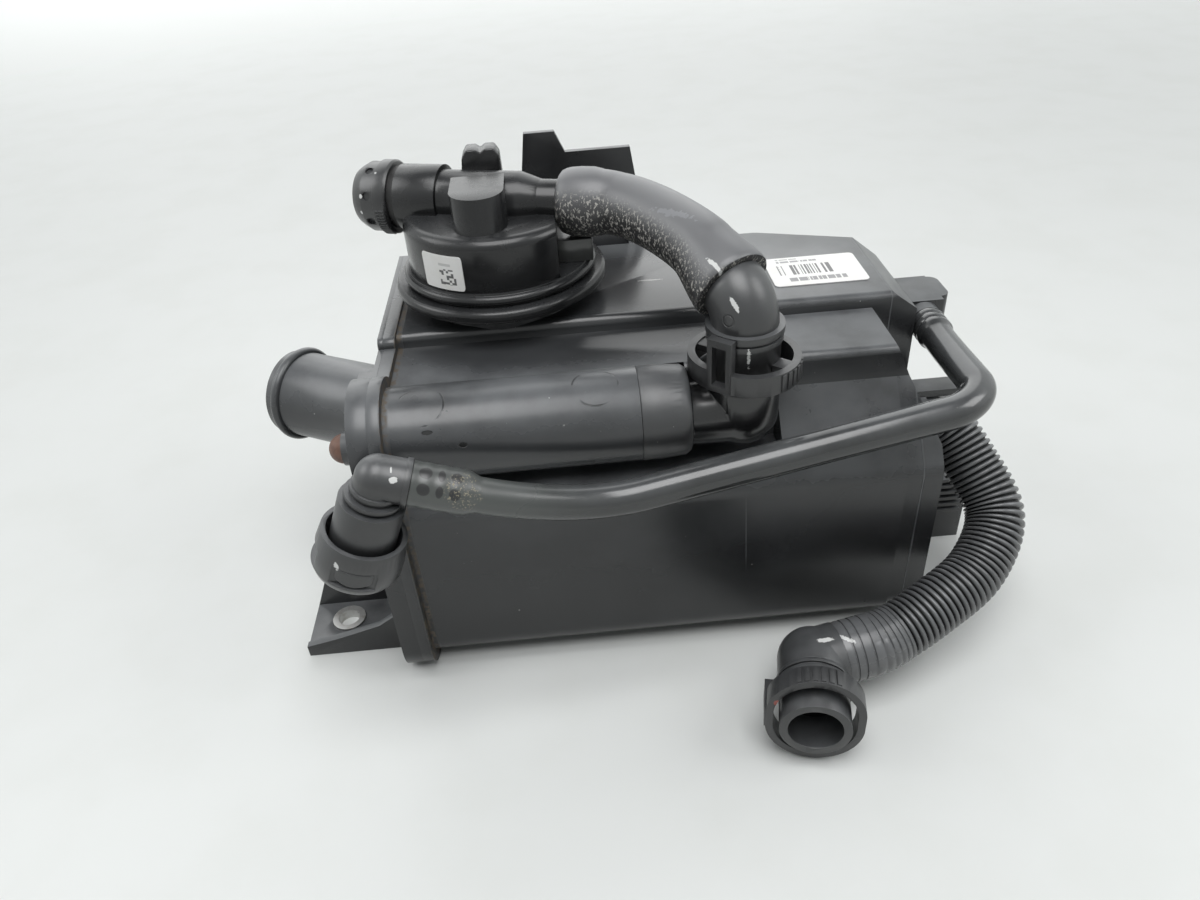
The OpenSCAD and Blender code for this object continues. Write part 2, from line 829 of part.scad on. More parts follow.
module scrubber_cap() {
    r1 = tube_r - cap_taper;
    translate(home)
        color([0.2, 0.21, 0.22])
            difference() {
                union() {
                    translate([tube_end_x, tube_y, tube_z])
                        rotate([0, 90, 0])
                            rotate_extrude()
                                polygon([[0, 0], [tube_r, 0], [tube_r, cap_len * 0.4],
                                    [r1 + 0.3, cap_len - 2.2], [r1 - 1.2, cap_len], [0, cap_len]]);
                    translate([tube_end_x - 6, tube_y, tube_z])
                        rotate([0, 90, 0])
                            cylinder(r = tube_r - wall - fit, h = 8);
                    translate([cap_end_x - 4, tube_y, neck_z])
                        rotate([0, 90, 0])
                            cylinder(r = neck_r, h = riser_x - cap_end_x + 4);
                    translate([riser_x, tube_y, neck_z])
                        sphere(r = riser_r);
                    translate([riser_x, tube_y, neck_z])
                        cylinder(r = riser_r, h = riser_top_z - neck_z);
                    translate([riser_x, tube_y, riser_top_z - 1])
                        cylinder(r = spigot_r, h = spigot_len + 1);
                }
                translate([tube_end_x - 7, tube_y, tube_z])
                    rotate([0, 90, 0])
                        cylinder(r = tube_r - wall - fit - 2, h = cap_len + 4);
                translate([tube_end_x, tube_y, neck_z])
                    rotate([0, 90, 0])
                        cylinder(r = spigot_r - 2, h = riser_x - tube_end_x);
                translate([riser_x, tube_y, neck_z])
                    sphere(r = spigot_r - 2);
                translate([riser_x, tube_y, neck_z])
                    cylinder(r = spigot_r - 2, h = 60);
            }
}

/* Pump */

module at_pump(z) {
    translate([pump_x, pump_y, z])
        children();
}

module on_port_axis(side) {
    translate([pump_x, pump_y, axis_z])
        rotate([0, 90 * side, port_axis_turn])
            children();
}

module pump_seal() {
    translate(home)
        color([0.08, 0.08, 0.08])
            at_pump(seat_z - 2)
                ring(seat_r - 5.5 + fit, seat_r - 2.5 - fit, 0, 2);
}

module pump_base() {
    translate(home)
        color([0.13, 0.13, 0.14])
            difference() {
                union() {
                    at_pump(seat_z)
                        rotate_extrude()
                            union() {
                                square([flange_r - 2, flange_h]);
                                translate([0, 2])
                                    square([flange_r, flange_h - 4]);
                                translate([flange_r - 2, 2])
                                    circle(2);
                                translate([flange_r - 2, flange_h - 2])
                                    circle(2);
                            }
                    at_pump(seat_z + flange_h - 1)
                        cylinder(r = housing_r + 0.8, h = collar_h + 1);
                    at_pump(seat_z + flange_h + collar_h / 2)
                        rotate_extrude()
                            union() {
                                translate([0, -collar_h / 2 + 0.6])
                                    square([collar_r - 1.8, collar_h - 1.2]);
                                translate([collar_r - 1.8, 0])
                                    circle(1.8);
                            }
                }
                at_pump(seat_z + flange_h - 3)
                    cylinder(r = housing_flat - 6, h = collar_h + 10);
            }
}

module pump_shape(inset, z0, z1) {
    intersection() {
        at_pump(z0)
            cylinder(r = housing_r - inset, h = z1 - z0);
        translate([pump_x - 60, pump_y - 60, z0])
            cube([60 + housing_flat - inset, 120, z1 - z0]);
    }
}

module pump_crown() {
    intersection() {
        at_pump(0)
            rotate_extrude()
                union() {
                    translate([0, deck_z])
                        square([housing_r, housing_h - 4]);
                    translate([0, deck_z])
                        square([housing_r - 4, housing_h]);
                    translate([housing_r - 4, crown_z - 4])
                        circle(4);
                }
        translate([pump_x - 60, pump_y - 60, deck_z])
            cube([60 + housing_flat, 120, 60]);
    }
}

module pump_housing() {
    translate(home)
        color([0.12, 0.12, 0.13])
            difference() {
                union() {
                    pump_crown();
                    on_port_axis(-1)
                        translate([0, 0, inlet_reach - 17])
                            cylinder(r = inlet_r, h = 17);
                    on_port_axis(-1)
                        translate([0, 0, -body_len])
                            cylinder(r = nipple_r + 1.2, h = inlet_reach - 10 + body_len);
                    on_port_axis(-1)
                        cylinder(r = nipple_r, h = inlet_reach + 13);
                    on_port_axis(1)
                        translate([0, 0, body_len])
                            cylinder(r1 = nipple_r + 1.2, r2 = outlet_r + 0.02, h = 8);
                    on_port_axis(1)
                        cylinder(r = outlet_r, h = hose_start + 16);
                    translate([pump_x - 4, pump_y - 20, crown_z - 3])
                        cylinder(r = boss_r, h = boss_h + 3);
                    translate([pump_x - 4 - boss_r, pump_y - 20, crown_z - 3])
                        cube([2 * boss_r, 16, boss_h + 3]);
                    translate([pump_x - 10, pump_y + 9, crown_z - 2])
                        cube([14, 8, post_h - 2]);
                    for (x = [-6.5, 0.5])
                        translate([pump_x + x, pump_y + 9.2, crown_z + post_h - 4.4])
                            rotate([-90, 0, 0])
                                cylinder(r = 3.4, h = 7.6);
                }
                pump_shape(housing_t, deck_z - 1, crown_z - housing_t - 1);
                on_port_axis(-1)
                    translate([0, 0, -hose_start - 30])
                        cylinder(r = pump_bore_r, h = hose_start + 30 + inlet_reach + 30);
            }
}

module pump_motor() {
    translate(home)
        color([0.45, 0.45, 0.46])
            at_pump(seat_z + flange_h - 3) {
                cylinder(r = 17, h = 16);
                cylinder(r = 11, h = 20);
            }
}

socket_x = pump_x + housing_flat;
socket_len = 13.5;

module pump_socket() {
    translate(home)
        color([0.55, 0.57, 0.57])
            difference() {
                translate([socket_x, pump_y - 14, deck_z])
                    cube([socket_len, 24, 9]);
                translate([socket_x + 2.5, pump_y - 12, deck_z + 2])
                    cube([20, 20, 5]);
            }
}

module socket_pins() {
    translate(home)
        color([0.7, 0.7, 0.68])
            for (y = [-7, -2, 3])
                translate([socket_x + 2.5, pump_y + y - 0.4, deck_z + 3.3])
                    cube([6, 0.8, 2.4]);
}

module pump_label() {
    translate(home)
        color([0.9, 0.9, 0.88])
            at_pump(deck_z + 0.8)
                rotate([0, 0, -138])
                    rotate_extrude(angle = 29)
                        translate([housing_r + 0.05, 0])
                            square([label_t, housing_h - 6.5]);
}

module air_seal() {
    translate(home)
        color([0.06, 0.06, 0.06])
            on_port_axis(-1)
                ring(nipple_r + fit, inlet_r - 0.6, inlet_reach, inlet_reach + 2.5);
}

module air_coupling() {
    z0 = inlet_reach + 2.5;
    translate(home)
        color([0.2, 0.2, 0.21])
            difference() {
                on_port_axis(-1)
                    translate([0, 0, z0])
                        rotate_extrude()
                            polygon([[nipple_r + fit, 0], [coupling_r - 0.8, 0], [coupling_r, 0.8],
                                [coupling_r, 5], [coupling_r - 0.7, 5.4], [coupling_r - 0.7, 10],
                                [coupling_r - 2.2, coupling_len - 2], [coupling_r - 3.6, coupling_len],
                                [socket_r - 1.5, coupling_len], [socket_r - 1.5, 11], [nipple_r + fit, 11]]);
                for (i = [0 : 7])
                    on_port_axis(-1)
                        translate([0, 0, z0 + 7.8])
                            rotate([0, 90, 45 * i + 20])
                                translate([0, 0, coupling_r - 1.6])
                                    cylinder(r = 1.6, h = 4);
            }
}

/* Pump hose and its connector */

elbow_z = riser_top_z + 21.5;
elbow_out = [sin(elbow_angle) * cos(elbow_turn), sin(elbow_angle) * sin(elbow_turn), cos(elbow_angle)];
elbow_end = [riser_x, tube_y, elbow_z]
    + turned([elbow_bend * (1 - cos(elbow_angle)), 0, elbow_bend * sin(elbow_angle)], 0, elbow_turn)
    + elbow_out * 0.4;
port_dir = [cos(port_axis_turn), sin(port_axis_turn), 0];
hose_from = [pump_x, pump_y, axis_z] + port_dir * hose_start;

module pump_hose() {
    grip = 17;
    a = hose_from + port_dir * grip;
    b = elbow_end + elbow_out * grip;
    lead = [for (i = [0 : 3]) hose_from + port_dir * grip * i / 4];
    free = [for (i = [0 : 12]) curve_at([a, b], port_dir * 42, -elbow_out * 20, i / 12)];
    exit = [for (i = [1 : 4]) b - elbow_out * grip * i / 4];
    p = concat(lead, free, exit);
    n = len(p) - 1;
    outer = [for (i = [0 : n])
        i == 0 ? outlet_r + 1 : i == 1 ? hose_start_r - 0.7 : i < 5 ? hose_start_r
        : i < n - 4 ? hose_r + 0.6 * pow(i / n, 3)
        : hose_r + (hose_end_r - hose_r) * min(1, 0.4 + (i - n + 4) * 0.3)];
    bore = [for (i = [0 : n]) i < 5 ? outlet_r + 0.2 : nipple_r + 0.2];
    translate(home)
        color([0.42, 0.43, 0.44])
            swept_pipe(p, outer, bore, port_dir, -elbow_out, [0, 0, 1], 24, 1);
}

module hose_elbow() {
    translate(home)
        color([0.1, 0.1, 0.11])
            difference() {
                union() {
                    translate([riser_x, tube_y, riser_top_z + fit])
                        cylinder(r = barrel_r, h = elbow_z - riser_top_z - fit);
                    difference() {
                        translate([riser_x, tube_y, elbow_z - 1.5])
                            cylinder(r = barrel_r + 1, h = 2.4);
                        aimed(elbow_end - elbow_out * 2 * fit, elbow_angle, elbow_turn)
                            cylinder(r = hose_end_r + 2 * fit, h = 30);
                    }
                    translate([riser_x, tube_y, elbow_z - 4.6])
                        cylinder(r = barrel_r + 0.7, h = 2);
                    translate([riser_x, tube_y, elbow_z])
                        rotate([0, 0, elbow_turn])
                            elbow_bar(elbow_r, elbow_bend, elbow_angle, 0.25);
                    aimed(elbow_end - elbow_out, elbow_angle, elbow_turn)
                        cylinder(r = nipple_r, h = 15);
                }
                translate([riser_x, tube_y, riser_top_z - 1])
                    cylinder(r = spigot_r + fit, h = spigot_len + 1.5);
                translate([riser_x, tube_y, riser_top_z + 9])
                    ring(spigot_r - 1, spigot_r + 2 * seal_w - 0.2, 0, 2 * seal_w + 0.4);
                translate([riser_x, tube_y, elbow_z])
                    rotate([0, 0, elbow_turn])
                        elbow_bar(nipple_r - 2.2, elbow_bend, elbow_angle, 17);
            }
}

module hose_seal() {
    translate(home)
        color([0.35, 0.1, 0.08])
            translate([riser_x, tube_y, riser_top_z + 9.2])
                ring(spigot_r + 0.05, spigot_r + 2 * seal_w - 0.3, 0, 2 * seal_w);
}

// Lock ring with grip ribs on one side and a latch tab on the other
module oval(r, h) {
    for (x = [-ring_oval, ring_oval])
        translate([x, 0, 0])
            cylinder(r = r, h = h);
    translate([-ring_oval, -r, 0])
        cube([2 * ring_oval, 2 * r, h]);
}

module lock_ring(grip_at, tab_at, tab_h) {
    difference() {
        union() {
            rotate([0, 0, grip_at])
                oval(ring_r, ring_h);
            for (i = [0 : grip_ribs - 1])
                rotate([0, 0, grip_at])
                    translate([ring_oval, 0, 0])
                        rotate([0, 0, 9 * (i - (grip_ribs - 1) / 2)])
                            translate([ring_r - 1, -0.8, 0.6])
                                cube([1.5, 1.6, ring_h - 1.2]);
            rotate([0, 0, tab_at])
                translate([ring_r - 3.2, -4.5, 0])
                    cube([3.6, 9, tab_h]);
        }
        rotate([0, 0, grip_at])
            translate([0, 0, -1])
                oval(ring_in_r, tab_h + 10);
        rotate([0, 0, tab_at])
            translate([ring_r - 6, -2.6, 2.4])
                cube([9, 5.2, tab_h - 5]);
    }
    for (a = [grip_at, grip_at + 180])
        rotate([0, 0, a])
            intersection() {
                ring(barrel_r + 0.02, ring_in_r + ring_oval + 0.5, ring_h - 3, ring_h - 0.6);
                translate([0, -3, 0])
                    cube([30, 6, ring_h]);
            }
}

module hose_lock_ring() {
    translate(home)
        color([0.28, 0.29, 0.29])
            translate([riser_x, tube_y, riser_top_z + 3.3])
                lock_ring(-40, -130, ring_h + 12);
}

/* Purge pipe and its connector */

purge_tilt = 180 - purge_lean;
purge_p = [-100.3, -83, 117];
purge_elbow_angle = 87;
purge_reach = 9.9;
purge_out = turned([sin(purge_elbow_angle), 0, -cos(purge_elbow_angle)], purge_tilt, 180);
purge_end = purge_p + purge_out * purge_reach;
barb_r = purge_bore_r + 1.2;
purge_body_len = 37.5;
purge_low = [-30, -75, 94];
purge_turn = [purge_x - purge_bend - 1, -63, 107];

module purge_pipe() {
    start = [purge_x, 0 - fit, purge_z];
    grip = 16;
    flare = 22;
    a = start - [0, grip, 0];
    b = [purge_x, -63 + purge_bend, purge_z + 1];
    run = unit(purge_low - purge_turn);
    c = purge_end + purge_out * flare;
    lead = [for (i = [0 : 4]) start - [0, grip, 0] * i / 4];
    first = [for (i = [1 : 3]) curve_at([a, b], [0, -28, 0], [0, -28, 1], i / 3)];
    corner = [for (i = [1 : 6]) curve_at([b, purge_turn], [0, -24, 0], run * 24, i / 6)];
    long = [for (i = [1 : 5]) purge_turn + (purge_low + [14, 0, 0] - purge_turn) * i / 5];
    sag = [for (i = [1 : 6]) curve_at([purge_low + [14, 0, 0], c], run * 62, -purge_out * 40, i / 6)];
    exit = [for (i = [1 : 10]) c - purge_out * flare * i / 10];
    p = concat(lead, first, corner, long, sag, exit);
    n = len(p) - 1;
    outer = [for (i = [0 : n])
        i < 4 ? purge_r + (i % 2 == 0 ? 0.5 : 1) : i < n - 9 ? purge_r : i == n - 9 ? purge_r + 0.4
        : purge_r + 1.3 + ((n - i) % 3 == 0 ? 0 : 0.3)];
    bore = [for (i = [0 : n]) i < n - 7 ? purge_bore_r : barb_r + fit];
    translate(home)
        color([0.3, 0.31, 0.32])
            swept_pipe(p, outer, bore, [0, -1, 0], -purge_out, [0, 0, 1], 20, 1);
}

// End of the purge elbow that carries the pipe, seen from the connector
module purge_stub() {
    rotate([0, 180 - purge_elbow_angle, 0])
        children();
}

module at_purge() {
    aimed(purge_p, purge_tilt, 180)
        children();
}

module purge_elbow() {
    r = purge_elbow_r;
    translate(home)
        color([0.14, 0.14, 0.15])
            at_purge()
                difference() {
                    union() {
                        sphere(r = r);
                        cylinder(r = r - 0.02, h = 11);
                        translate([0, 0, 3.6])
                            cylinder(r = r + 0.7, h = 1.6);
                        translate([0, 0, 6.6])
                            cylinder(r = r + 2, h = 1.5);
                        translate([0, 0, 9.5])
                            cylinder(r = purge_body_r, h = purge_body_len - 9.5);
                        purge_stub()
                            cylinder(r = r - 0.02, h = purge_reach - 1.6);
                        purge_stub()
                            translate([0, 0, purge_reach - 1.8])
                                cylinder(r = r + 0.5, h = 1.8);
                        purge_stub()
                            cylinder(r = barb_r, h = purge_reach + 15);
                    }
                    translate([0, 0, 14])
                        cylinder(r = purge_socket_r, h = 40);
                    translate([0, 0, 18])
                        ring(purge_socket_r - 1, purge_socket_r + 1.8 * seal_w, 0, 2 * seal_w + 0.2);
                    sphere(r = barb_r - 1.6);
                    cylinder(r = barb_r - 1.62, h = 20);
                    purge_stub()
                        cylinder(r = barb_r - 1.62, h = purge_reach + 20);
                }
}

module purge_seal() {
    translate(home)
        color([0.35, 0.1, 0.08])
            at_purge()
                translate([0, 0, 18.1])
                    ring(purge_socket_r + 0.05, purge_socket_r + 1.8 * seal_w - 0.1, 0, 2 * seal_w);
}

module purge_clip() {
    translate(home)
        color([0.1, 0.1, 0.11])
            at_purge()
                translate([0, 0, 22.8])
                    difference() {
                        rotate_extrude()
                            polygon([[clip_r - 2.6, 0], [clip_r - 0.9, 0], [clip_r, 8], [clip_r, 13.5],
                                [clip_r - 1.2, 16], [purge_body_r + fit, 16], [purge_body_r + fit, 5]]);
                        for (a = [90, 180, 270])
                            rotate([0, 0, a])
                                translate([clip_r - 2.2, -7.5, 6])
                                    cube([10, 15, 7]);
                    }
}

/* Vent pipe and its connector */

vent_tilt = 88.5;
vent_az = -102.5;
vent_p = [41.1, -102, 21];
vent_elbow_angle = 70;
vent_corner = 9.8;
vent_reach = 10.4;
vent_side = 97;
vent_len = 22;
vent_side_dir = [cos(vent_side), sin(vent_side), 0];
vent_out = turned(sin(vent_elbow_angle) * vent_side_dir - [0, 0, cos(vent_elbow_angle)], vent_tilt, vent_az);
vent_end = vent_p - turned([0, 0, vent_corner], vent_tilt, vent_az) + vent_out * vent_reach;
vent_bore_r = vent_r - vent_depth - vent_t;

module vent_pipe() {
    start = [end_x + 1 + fit, vent_y, vent_z];
    grip = 5;
    a = start + [grip, 0, 0];
    c = vent_end + vent_out * cuff_len;
    k = [a, [118.5, -37, 61], [125.5, -51.5, 48], [114.5, -66, 37.5], [95.5, -79.5, 31.5], c];
    rows = 4 * vent_waves;
    lead = [for (i = [0 : 3]) start + [grip, 0, 0] * i / 4];
    free = [for (i = [0 : rows]) curve_at(k, [12, -4, -4], -vent_out * 16, i / rows)];
    exit = [for (i = [1 : 12]) c - vent_out * (cuff_len - fit) * i / 12];
    p = concat(lead, free, exit);
    n = len(p) - 1;
    outer = [for (i = [0 : n])
        i < 4 ? vent_r : i > rows + 4 ? vent_r + 0.8 * (i - rows - 4) / 12 + (i % 2 == 0 ? 0 : 0.3)
        : vent_r - (i % 4 < 2 ? 0 : vent_depth)];
    bore = [for (i = [0 : n]) vent_bore_r];
    translate(home)
        color([0.2, 0.2, 0.21])
            swept_pipe(p, outer, bore, [1, 0, 0], -vent_out, [0, 0, 1], 18, 4);
}

// End of the vent elbow that carries the pipe, seen from the connector
module vent_stub() {
    translate([0, 0, -vent_corner])
        rotate([0, 180 - vent_elbow_angle, vent_side])
            children();
}

module at_vent() {
    aimed(vent_p, vent_tilt, vent_az)
        children();
}

module vent_elbow() {
    bar = vent_bore_r - 0.3;
    translate(home)
        color([0.12, 0.12, 0.13])
            at_vent()
                difference() {
                    union() {
                        difference() {
                            union() {
                                cylinder(r = barrel_r, h = vent_len);
                                translate([0, 0, 0.4])
                                    cylinder(r = barrel_r + 0.9, h = 1.8);
                                translate([0, 0, 3.4])
                                    cylinder(r = barrel_r + 1.3, h = 1.8);
                                translate([0, 0, -vent_corner])
                                    sphere(r = barrel_r + 0.4);
                                translate([0, 0, -vent_corner])
                                    cylinder(r = barrel_r + 0.38, h = vent_corner);
                                vent_stub()
                                    cylinder(r = vent_r + 1, h = vent_reach + 2);
                            }
                            vent_stub()
                                translate([0, 0, vent_reach])
                                    cylinder(r = vent_r + 2.2, h = 30);
                        }
                        vent_stub()
                            cylinder(r = bar, h = vent_reach + 20);
                    }
                    translate([0, 0, 3])
                        cylinder(r = socket_r, h = 40);
                    translate([0, 0, 6])
                        ring(socket_r - 1, socket_r + 1.6 * seal_w, 0, 2 * seal_w + 0.2);
                    translate([0, 0, -vent_corner - 4])
                        cylinder(r = bar - 1.8, h = vent_corner + 8);
                    vent_stub()
                        cylinder(r = bar - 2.2, h = vent_reach + 24);
                }
}

module vent_seal() {
    translate(home)
        color([0.5, 0.12, 0.1])
            at_vent()
                translate([0, 0, 6.1])
                    ring(socket_r + 0.05, socket_r + 1.6 * seal_w - 0.1, 0, 2 * seal_w);
}

module vent_lock_ring() {
    translate(home)
        color([0.24, 0.25, 0.25])
            at_vent()
                translate([0, 0, vent_len - 4])
                    mirror([0, 0, 1])
                        lock_ring(180, -90, ring_h + 6);
}

/* Labels */

module roof_label() {
    translate(home)
        color([0.92, 0.92, 0.9])
            translate([label_x, label_y, roof_z])
                cube([label_len, label_d, label_t]);
}

canister_shell();
end_cover();
bracket_sleeve();
cover_plug();
main_charcoal();
front_charcoal();
main_fleece_pads();
front_fleece_pads();
main_press_plate();
front_press_plate();
press_springs();
scrubber_core();
scrubber_seals();
scrubber_cap();
pump_seal();
pump_base();
pump_housing();
pump_motor();
pump_socket();
socket_pins();
pump_label();
air_seal();
air_coupling();
pump_hose();
hose_elbow();
hose_seal();
hose_lock_ring();
purge_pipe();
purge_elbow();
purge_seal();
purge_clip();
vent_pipe();
vent_elbow();
vent_seal();
vent_lock_ring();
roof_label();
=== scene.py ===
"""Charcoal canister with its leak-diagnosis pump, hose and pipes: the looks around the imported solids."""

import math

import bmesh
import bpy
from mathutils import Matrix, Vector


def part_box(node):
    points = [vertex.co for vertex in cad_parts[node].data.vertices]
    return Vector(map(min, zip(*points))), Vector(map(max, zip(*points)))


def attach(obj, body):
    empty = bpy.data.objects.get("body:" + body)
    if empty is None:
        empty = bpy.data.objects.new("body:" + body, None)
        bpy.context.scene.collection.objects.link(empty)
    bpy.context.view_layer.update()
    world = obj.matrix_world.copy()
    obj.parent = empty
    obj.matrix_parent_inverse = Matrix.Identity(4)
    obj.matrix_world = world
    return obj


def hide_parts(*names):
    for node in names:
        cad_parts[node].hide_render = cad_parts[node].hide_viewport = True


MM = 0.001
# The drawing frame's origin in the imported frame, in mm
HOME = Vector((12.54, 24.1, 0.0))

# Camera, as fitted to the photograph's edges
PHOTO_WIDTH_PX = 1200
FOCAL_PX = 901.0
CAMERA_MM = Vector((-35.7, -313.2, 287.1))
CAMERA_PITCH = 36.0
CAMERA_YAW = 1.5
CAMERA_ROLL = 4.3


def at(x, y, z):
    """A point of the drawing frame in mm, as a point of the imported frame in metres."""
    return (Vector((x, y, z)) + HOME) * MM


# Routes of the pipes, in the drawing frame


def turned(v, tilt, azimuth):
    """v tilted about y and then turned about z, in degrees."""
    lean = Matrix.Rotation(math.radians(tilt), 3, "Y")
    return Matrix.Rotation(math.radians(azimuth), 3, "Z") @ (lean @ Vector(v))


def heading_from(tilt, azimuth):
    """The direction that leans by tilt from straight up, towards azimuth."""
    return turned((0, 0, 1), tilt, azimuth)


def hermite(a, b, da, db, t):
    """The point at t on the curve from a to b with those end slopes."""
    return (
        a * (2 * t**3 - 3 * t**2 + 1)
        + da * (t**3 - 2 * t**2 + t)
        + b * (3 * t**2 - 2 * t**3)
        + db * (t**3 - t**2)
    )


def route_through(knots, first_slope, last_slope, steps):
    """Points on a smooth curve through the knots, steps of them for each stretch."""
    knots = [Vector(k) for k in knots]
    last = len(knots) - 1
    slopes = [(knots[min(i + 1, last)] - knots[max(i - 1, 0)]) / 2 for i in range(last + 1)]
    slopes[0] = Vector(first_slope)
    slopes[last] = Vector(last_slope)
    points = []
    for i in range(last):
        for s in range(steps):
            points.append(hermite(knots[i], knots[i + 1], slopes[i], slopes[i + 1], s / steps))
    return points + [knots[last]]


def resampled(line, places):
    """Points at those distances along a line of points."""
    lengths = [0.0]
    for here, there in zip(line, line[1:]):
        lengths.append(lengths[-1] + (there - here).length)
    points = []
    i = 0
    for place in places:
        while i < len(line) - 2 and lengths[i + 1] < place:
            i += 1
        points.append(line[i].lerp(line[i + 1], (place - lengths[i]) / (lengths[i + 1] - lengths[i])))
    return points


def bent_off(bend, side):
    """The direction that leaves straight down by bend, towards side, in degrees."""
    bend = math.radians(bend)
    side = math.radians(side)
    return (math.sin(bend) * math.cos(side), math.sin(bend) * math.sin(side), -math.cos(bend))


# Sizes of the pipes and the hose and of what they join, in mm and degrees

# Vent elbow, free at the front right: how its socket leans, and where the pipe leaves it
VENT_TILT = 88.5
VENT_AZIMUTH = -102.5
VENT_SOCKET = Vector((41.1, -102, 21))
VENT_SOCKET_LEN = 9.8
VENT_STUB_LEN = 10.4
VENT_OUT = turned(bent_off(70, 97), VENT_TILT, VENT_AZIMUTH)
VENT_END = VENT_SOCKET - turned((0, 0, VENT_SOCKET_LEN), VENT_TILT, VENT_AZIMUTH) + VENT_OUT * VENT_STUB_LEN

# Vent pipe: its route from the casing, its waves, and the cuff with thin grooves
VENT_START = Vector((101.15, -22, 76))
VENT_KNOTS = ((119.5, -38, 61), (124, -52.5, 48.5), (114.5, -66.5, 38), (98, -77, 31.5))
VENT_FIRST_SLOPE = (18, -4, -4)
VENT_LAST_SLOPE = 30
VENT_STRAIGHT = 12
VENT_SEAT_GAP = 0.15
VENT_R = 11.0
VENT_BORE_R = 8.7
VENT_GRIP = 5.0
VENT_WAVES = 44
WAVE_RINGS = 9
WAVE_DEPTH = 1.35
WAVE_SHARPNESS = 2.4
CUFF_LEN = 25.0
CUFF_SWELL = 0.8
CUFF_SWELL_LEN = 14.0
CUFF_GROOVES = (2.0, 4.0, 6.2, 8.6, 11.4, 15.0, 18.8, 22.0)
CUFF_GROOVE_DEPTH = 0.42

# Pump, whose two ports lie on one line
PORT_AZIMUTH = math.radians(-17.3)
PORT_OUT = Vector((math.cos(PORT_AZIMUTH), math.sin(PORT_AZIMUTH), 0))
PUMP_CENTRE = Vector((-61, 27, 163.5))
HOUSING_R = 35.5
POST_FRONT = 35.5
POST_BACK = 44.5
POST_EDGE = 0.7
# Outline of the post in x and z
POST_OUTLINE = (
    (-76.5, 162), (-72.0, 171.5), (-71.3, 177.2), (-69.4, 180.0), (-65.8, 180.1),
    (-64.0, 178.7), (-62.2, 180.1), (-58.6, 180.0), (-56.8, 177.2), (-56.4, 162),
)
COUPLING_GRIP_OUT = HOUSING_R + 0.5 + 2.5 + 2.9

# Hose elbow on the scrubber cap
ELBOW_PLACE = Vector((23.5, -45, 139.5))
ELBOW_BEND = 65
ELBOW_AZIMUTH = 118
ELBOW_BEND_R = 12
ELBOW_SEAT_GAP = 0.4

# Pump hose: place along it and radius, at the grip on the pump and at the flare over the elbow
HOSE_START = 27.5
HOSE_LEAD = 17
HOSE_R = 11.4
HOSE_BORE_R = 9.7
HOSE_GRIP_BORE_R = 8.2
HOSE_FIRST_SLOPE = 42
HOSE_LAST_SLOPE = 20
HOSE_GRIP = (
    (0.0, 9.0), (0.5, 10.4), (1.4, 11.5), (2.8, 12.1), (4.5, 12.5), (8.0, 12.8), (13.0, 12.8), (15.5, 12.3),
)
HOSE_FLARE = ((2.0, 12.2), (6.0, 12.9), (10.5, 13.7), (14.5, 14.2), (16.4, 14.2), (16.9, 13.9))

# Purge elbow and its clip, free at the front left
PURGE_PLACE = Vector((-100.3, -83, 117))
PURGE_TILT = 157.5
PURGE_AZIMUTH = 180
PURGE_STUB_LEN = 9.9
PURGE_OUT = turned(bent_off(87, 0), PURGE_TILT, PURGE_AZIMUTH)
PURGE_END = PURGE_PLACE + PURGE_OUT * PURGE_STUB_LEN
CLIP_R = 15.2
TONGUE_TOP = 29.3
TONGUE_BOTTOM = 35.4
TONGUE_HALF_ANGLE = math.radians(25)
TONGUE_BOW = 2.2
TONGUE_COLUMNS = 16
TONGUE_ROWS = 6

# Purge pipe: place and radius of its barbs on the casing's spigot, its route, and the sleeve at its free end
PURGE_START = Vector((107, -0.15, 108))
PURGE_LEAD = 16
PURGE_BARBS = (
    (0.0, 6.5), (0.6, 6.9), (2.6, 6.9), (3.4, 6.4), (4.2, 6.9), (6.2, 6.9),
    (7.0, 6.4), (7.8, 6.9), (9.8, 6.9), (11.0, 6.2), (13.0, 6.0),
)
PURGE_BEFORE_BEND = Vector((107, -48, 109))
PURGE_AFTER_BEND = Vector((91, -63, 107))
PURGE_LOW = Vector((-30, -75, 94))
PURGE_SAG = 14
PURGE_LEAD_SLOPES = ((0, -28, 0), (0, -28, 1))
PURGE_BEND_SLOPE = 24
PURGE_SAG_SLOPE = 62
PURGE_SLEEVE_SLOPE = 40
PURGE_R = 6.0
PURGE_BORE_R = 4.2
SLEEVE_START = 22
SLEEVE_LEN = 21.8
SLEEVE_RINGS = 44
SLEEVE_BORE_R = 5.55
SLEEVE_SWELL = 1.35
SLEEVE_WAVE = 0.18
SLEEVE_WAVE_PITCH = 4.9


# Making pieces


def new_piece(name, mesh):
    """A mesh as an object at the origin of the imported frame."""
    piece = bpy.data.objects.new(name, mesh)
    bpy.context.scene.collection.objects.link(piece)
    return piece


def stands_for(piece, node, finish):
    """The piece takes its CAD node's place and finish."""
    piece.data.materials.clear()
    piece.data.materials.append(finish)
    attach(piece, "root")
    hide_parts(node)


def smooth_by_angle(mesh, degrees):
    """Smooth shading, sharp past an angle."""
    mesh.shade_smooth()
    mesh.set_sharp_from_angle(angle=math.radians(degrees))


def baked(piece):
    """The piece's modifiers turned into its plain mesh."""
    bpy.context.view_layer.update()
    ready = piece.evaluated_get(bpy.context.evaluated_depsgraph_get())
    piece.data = bpy.data.meshes.new_from_object(ready)
    piece.modifiers.clear()
    return piece


# In a CAD mesh, points closer than this are one point, and faces that turn less than this are one face
SAME_POINT_M = 2e-6
SAME_FACE_DEG = 0.4
# Edges that turn more than this are rounded, and edges that then turn more than the second angle stay sharp
ROUNDED_EDGE_DEG = 32
SHARP_EDGE_DEG = 28
STICKER_EDGE_MM = 1.0


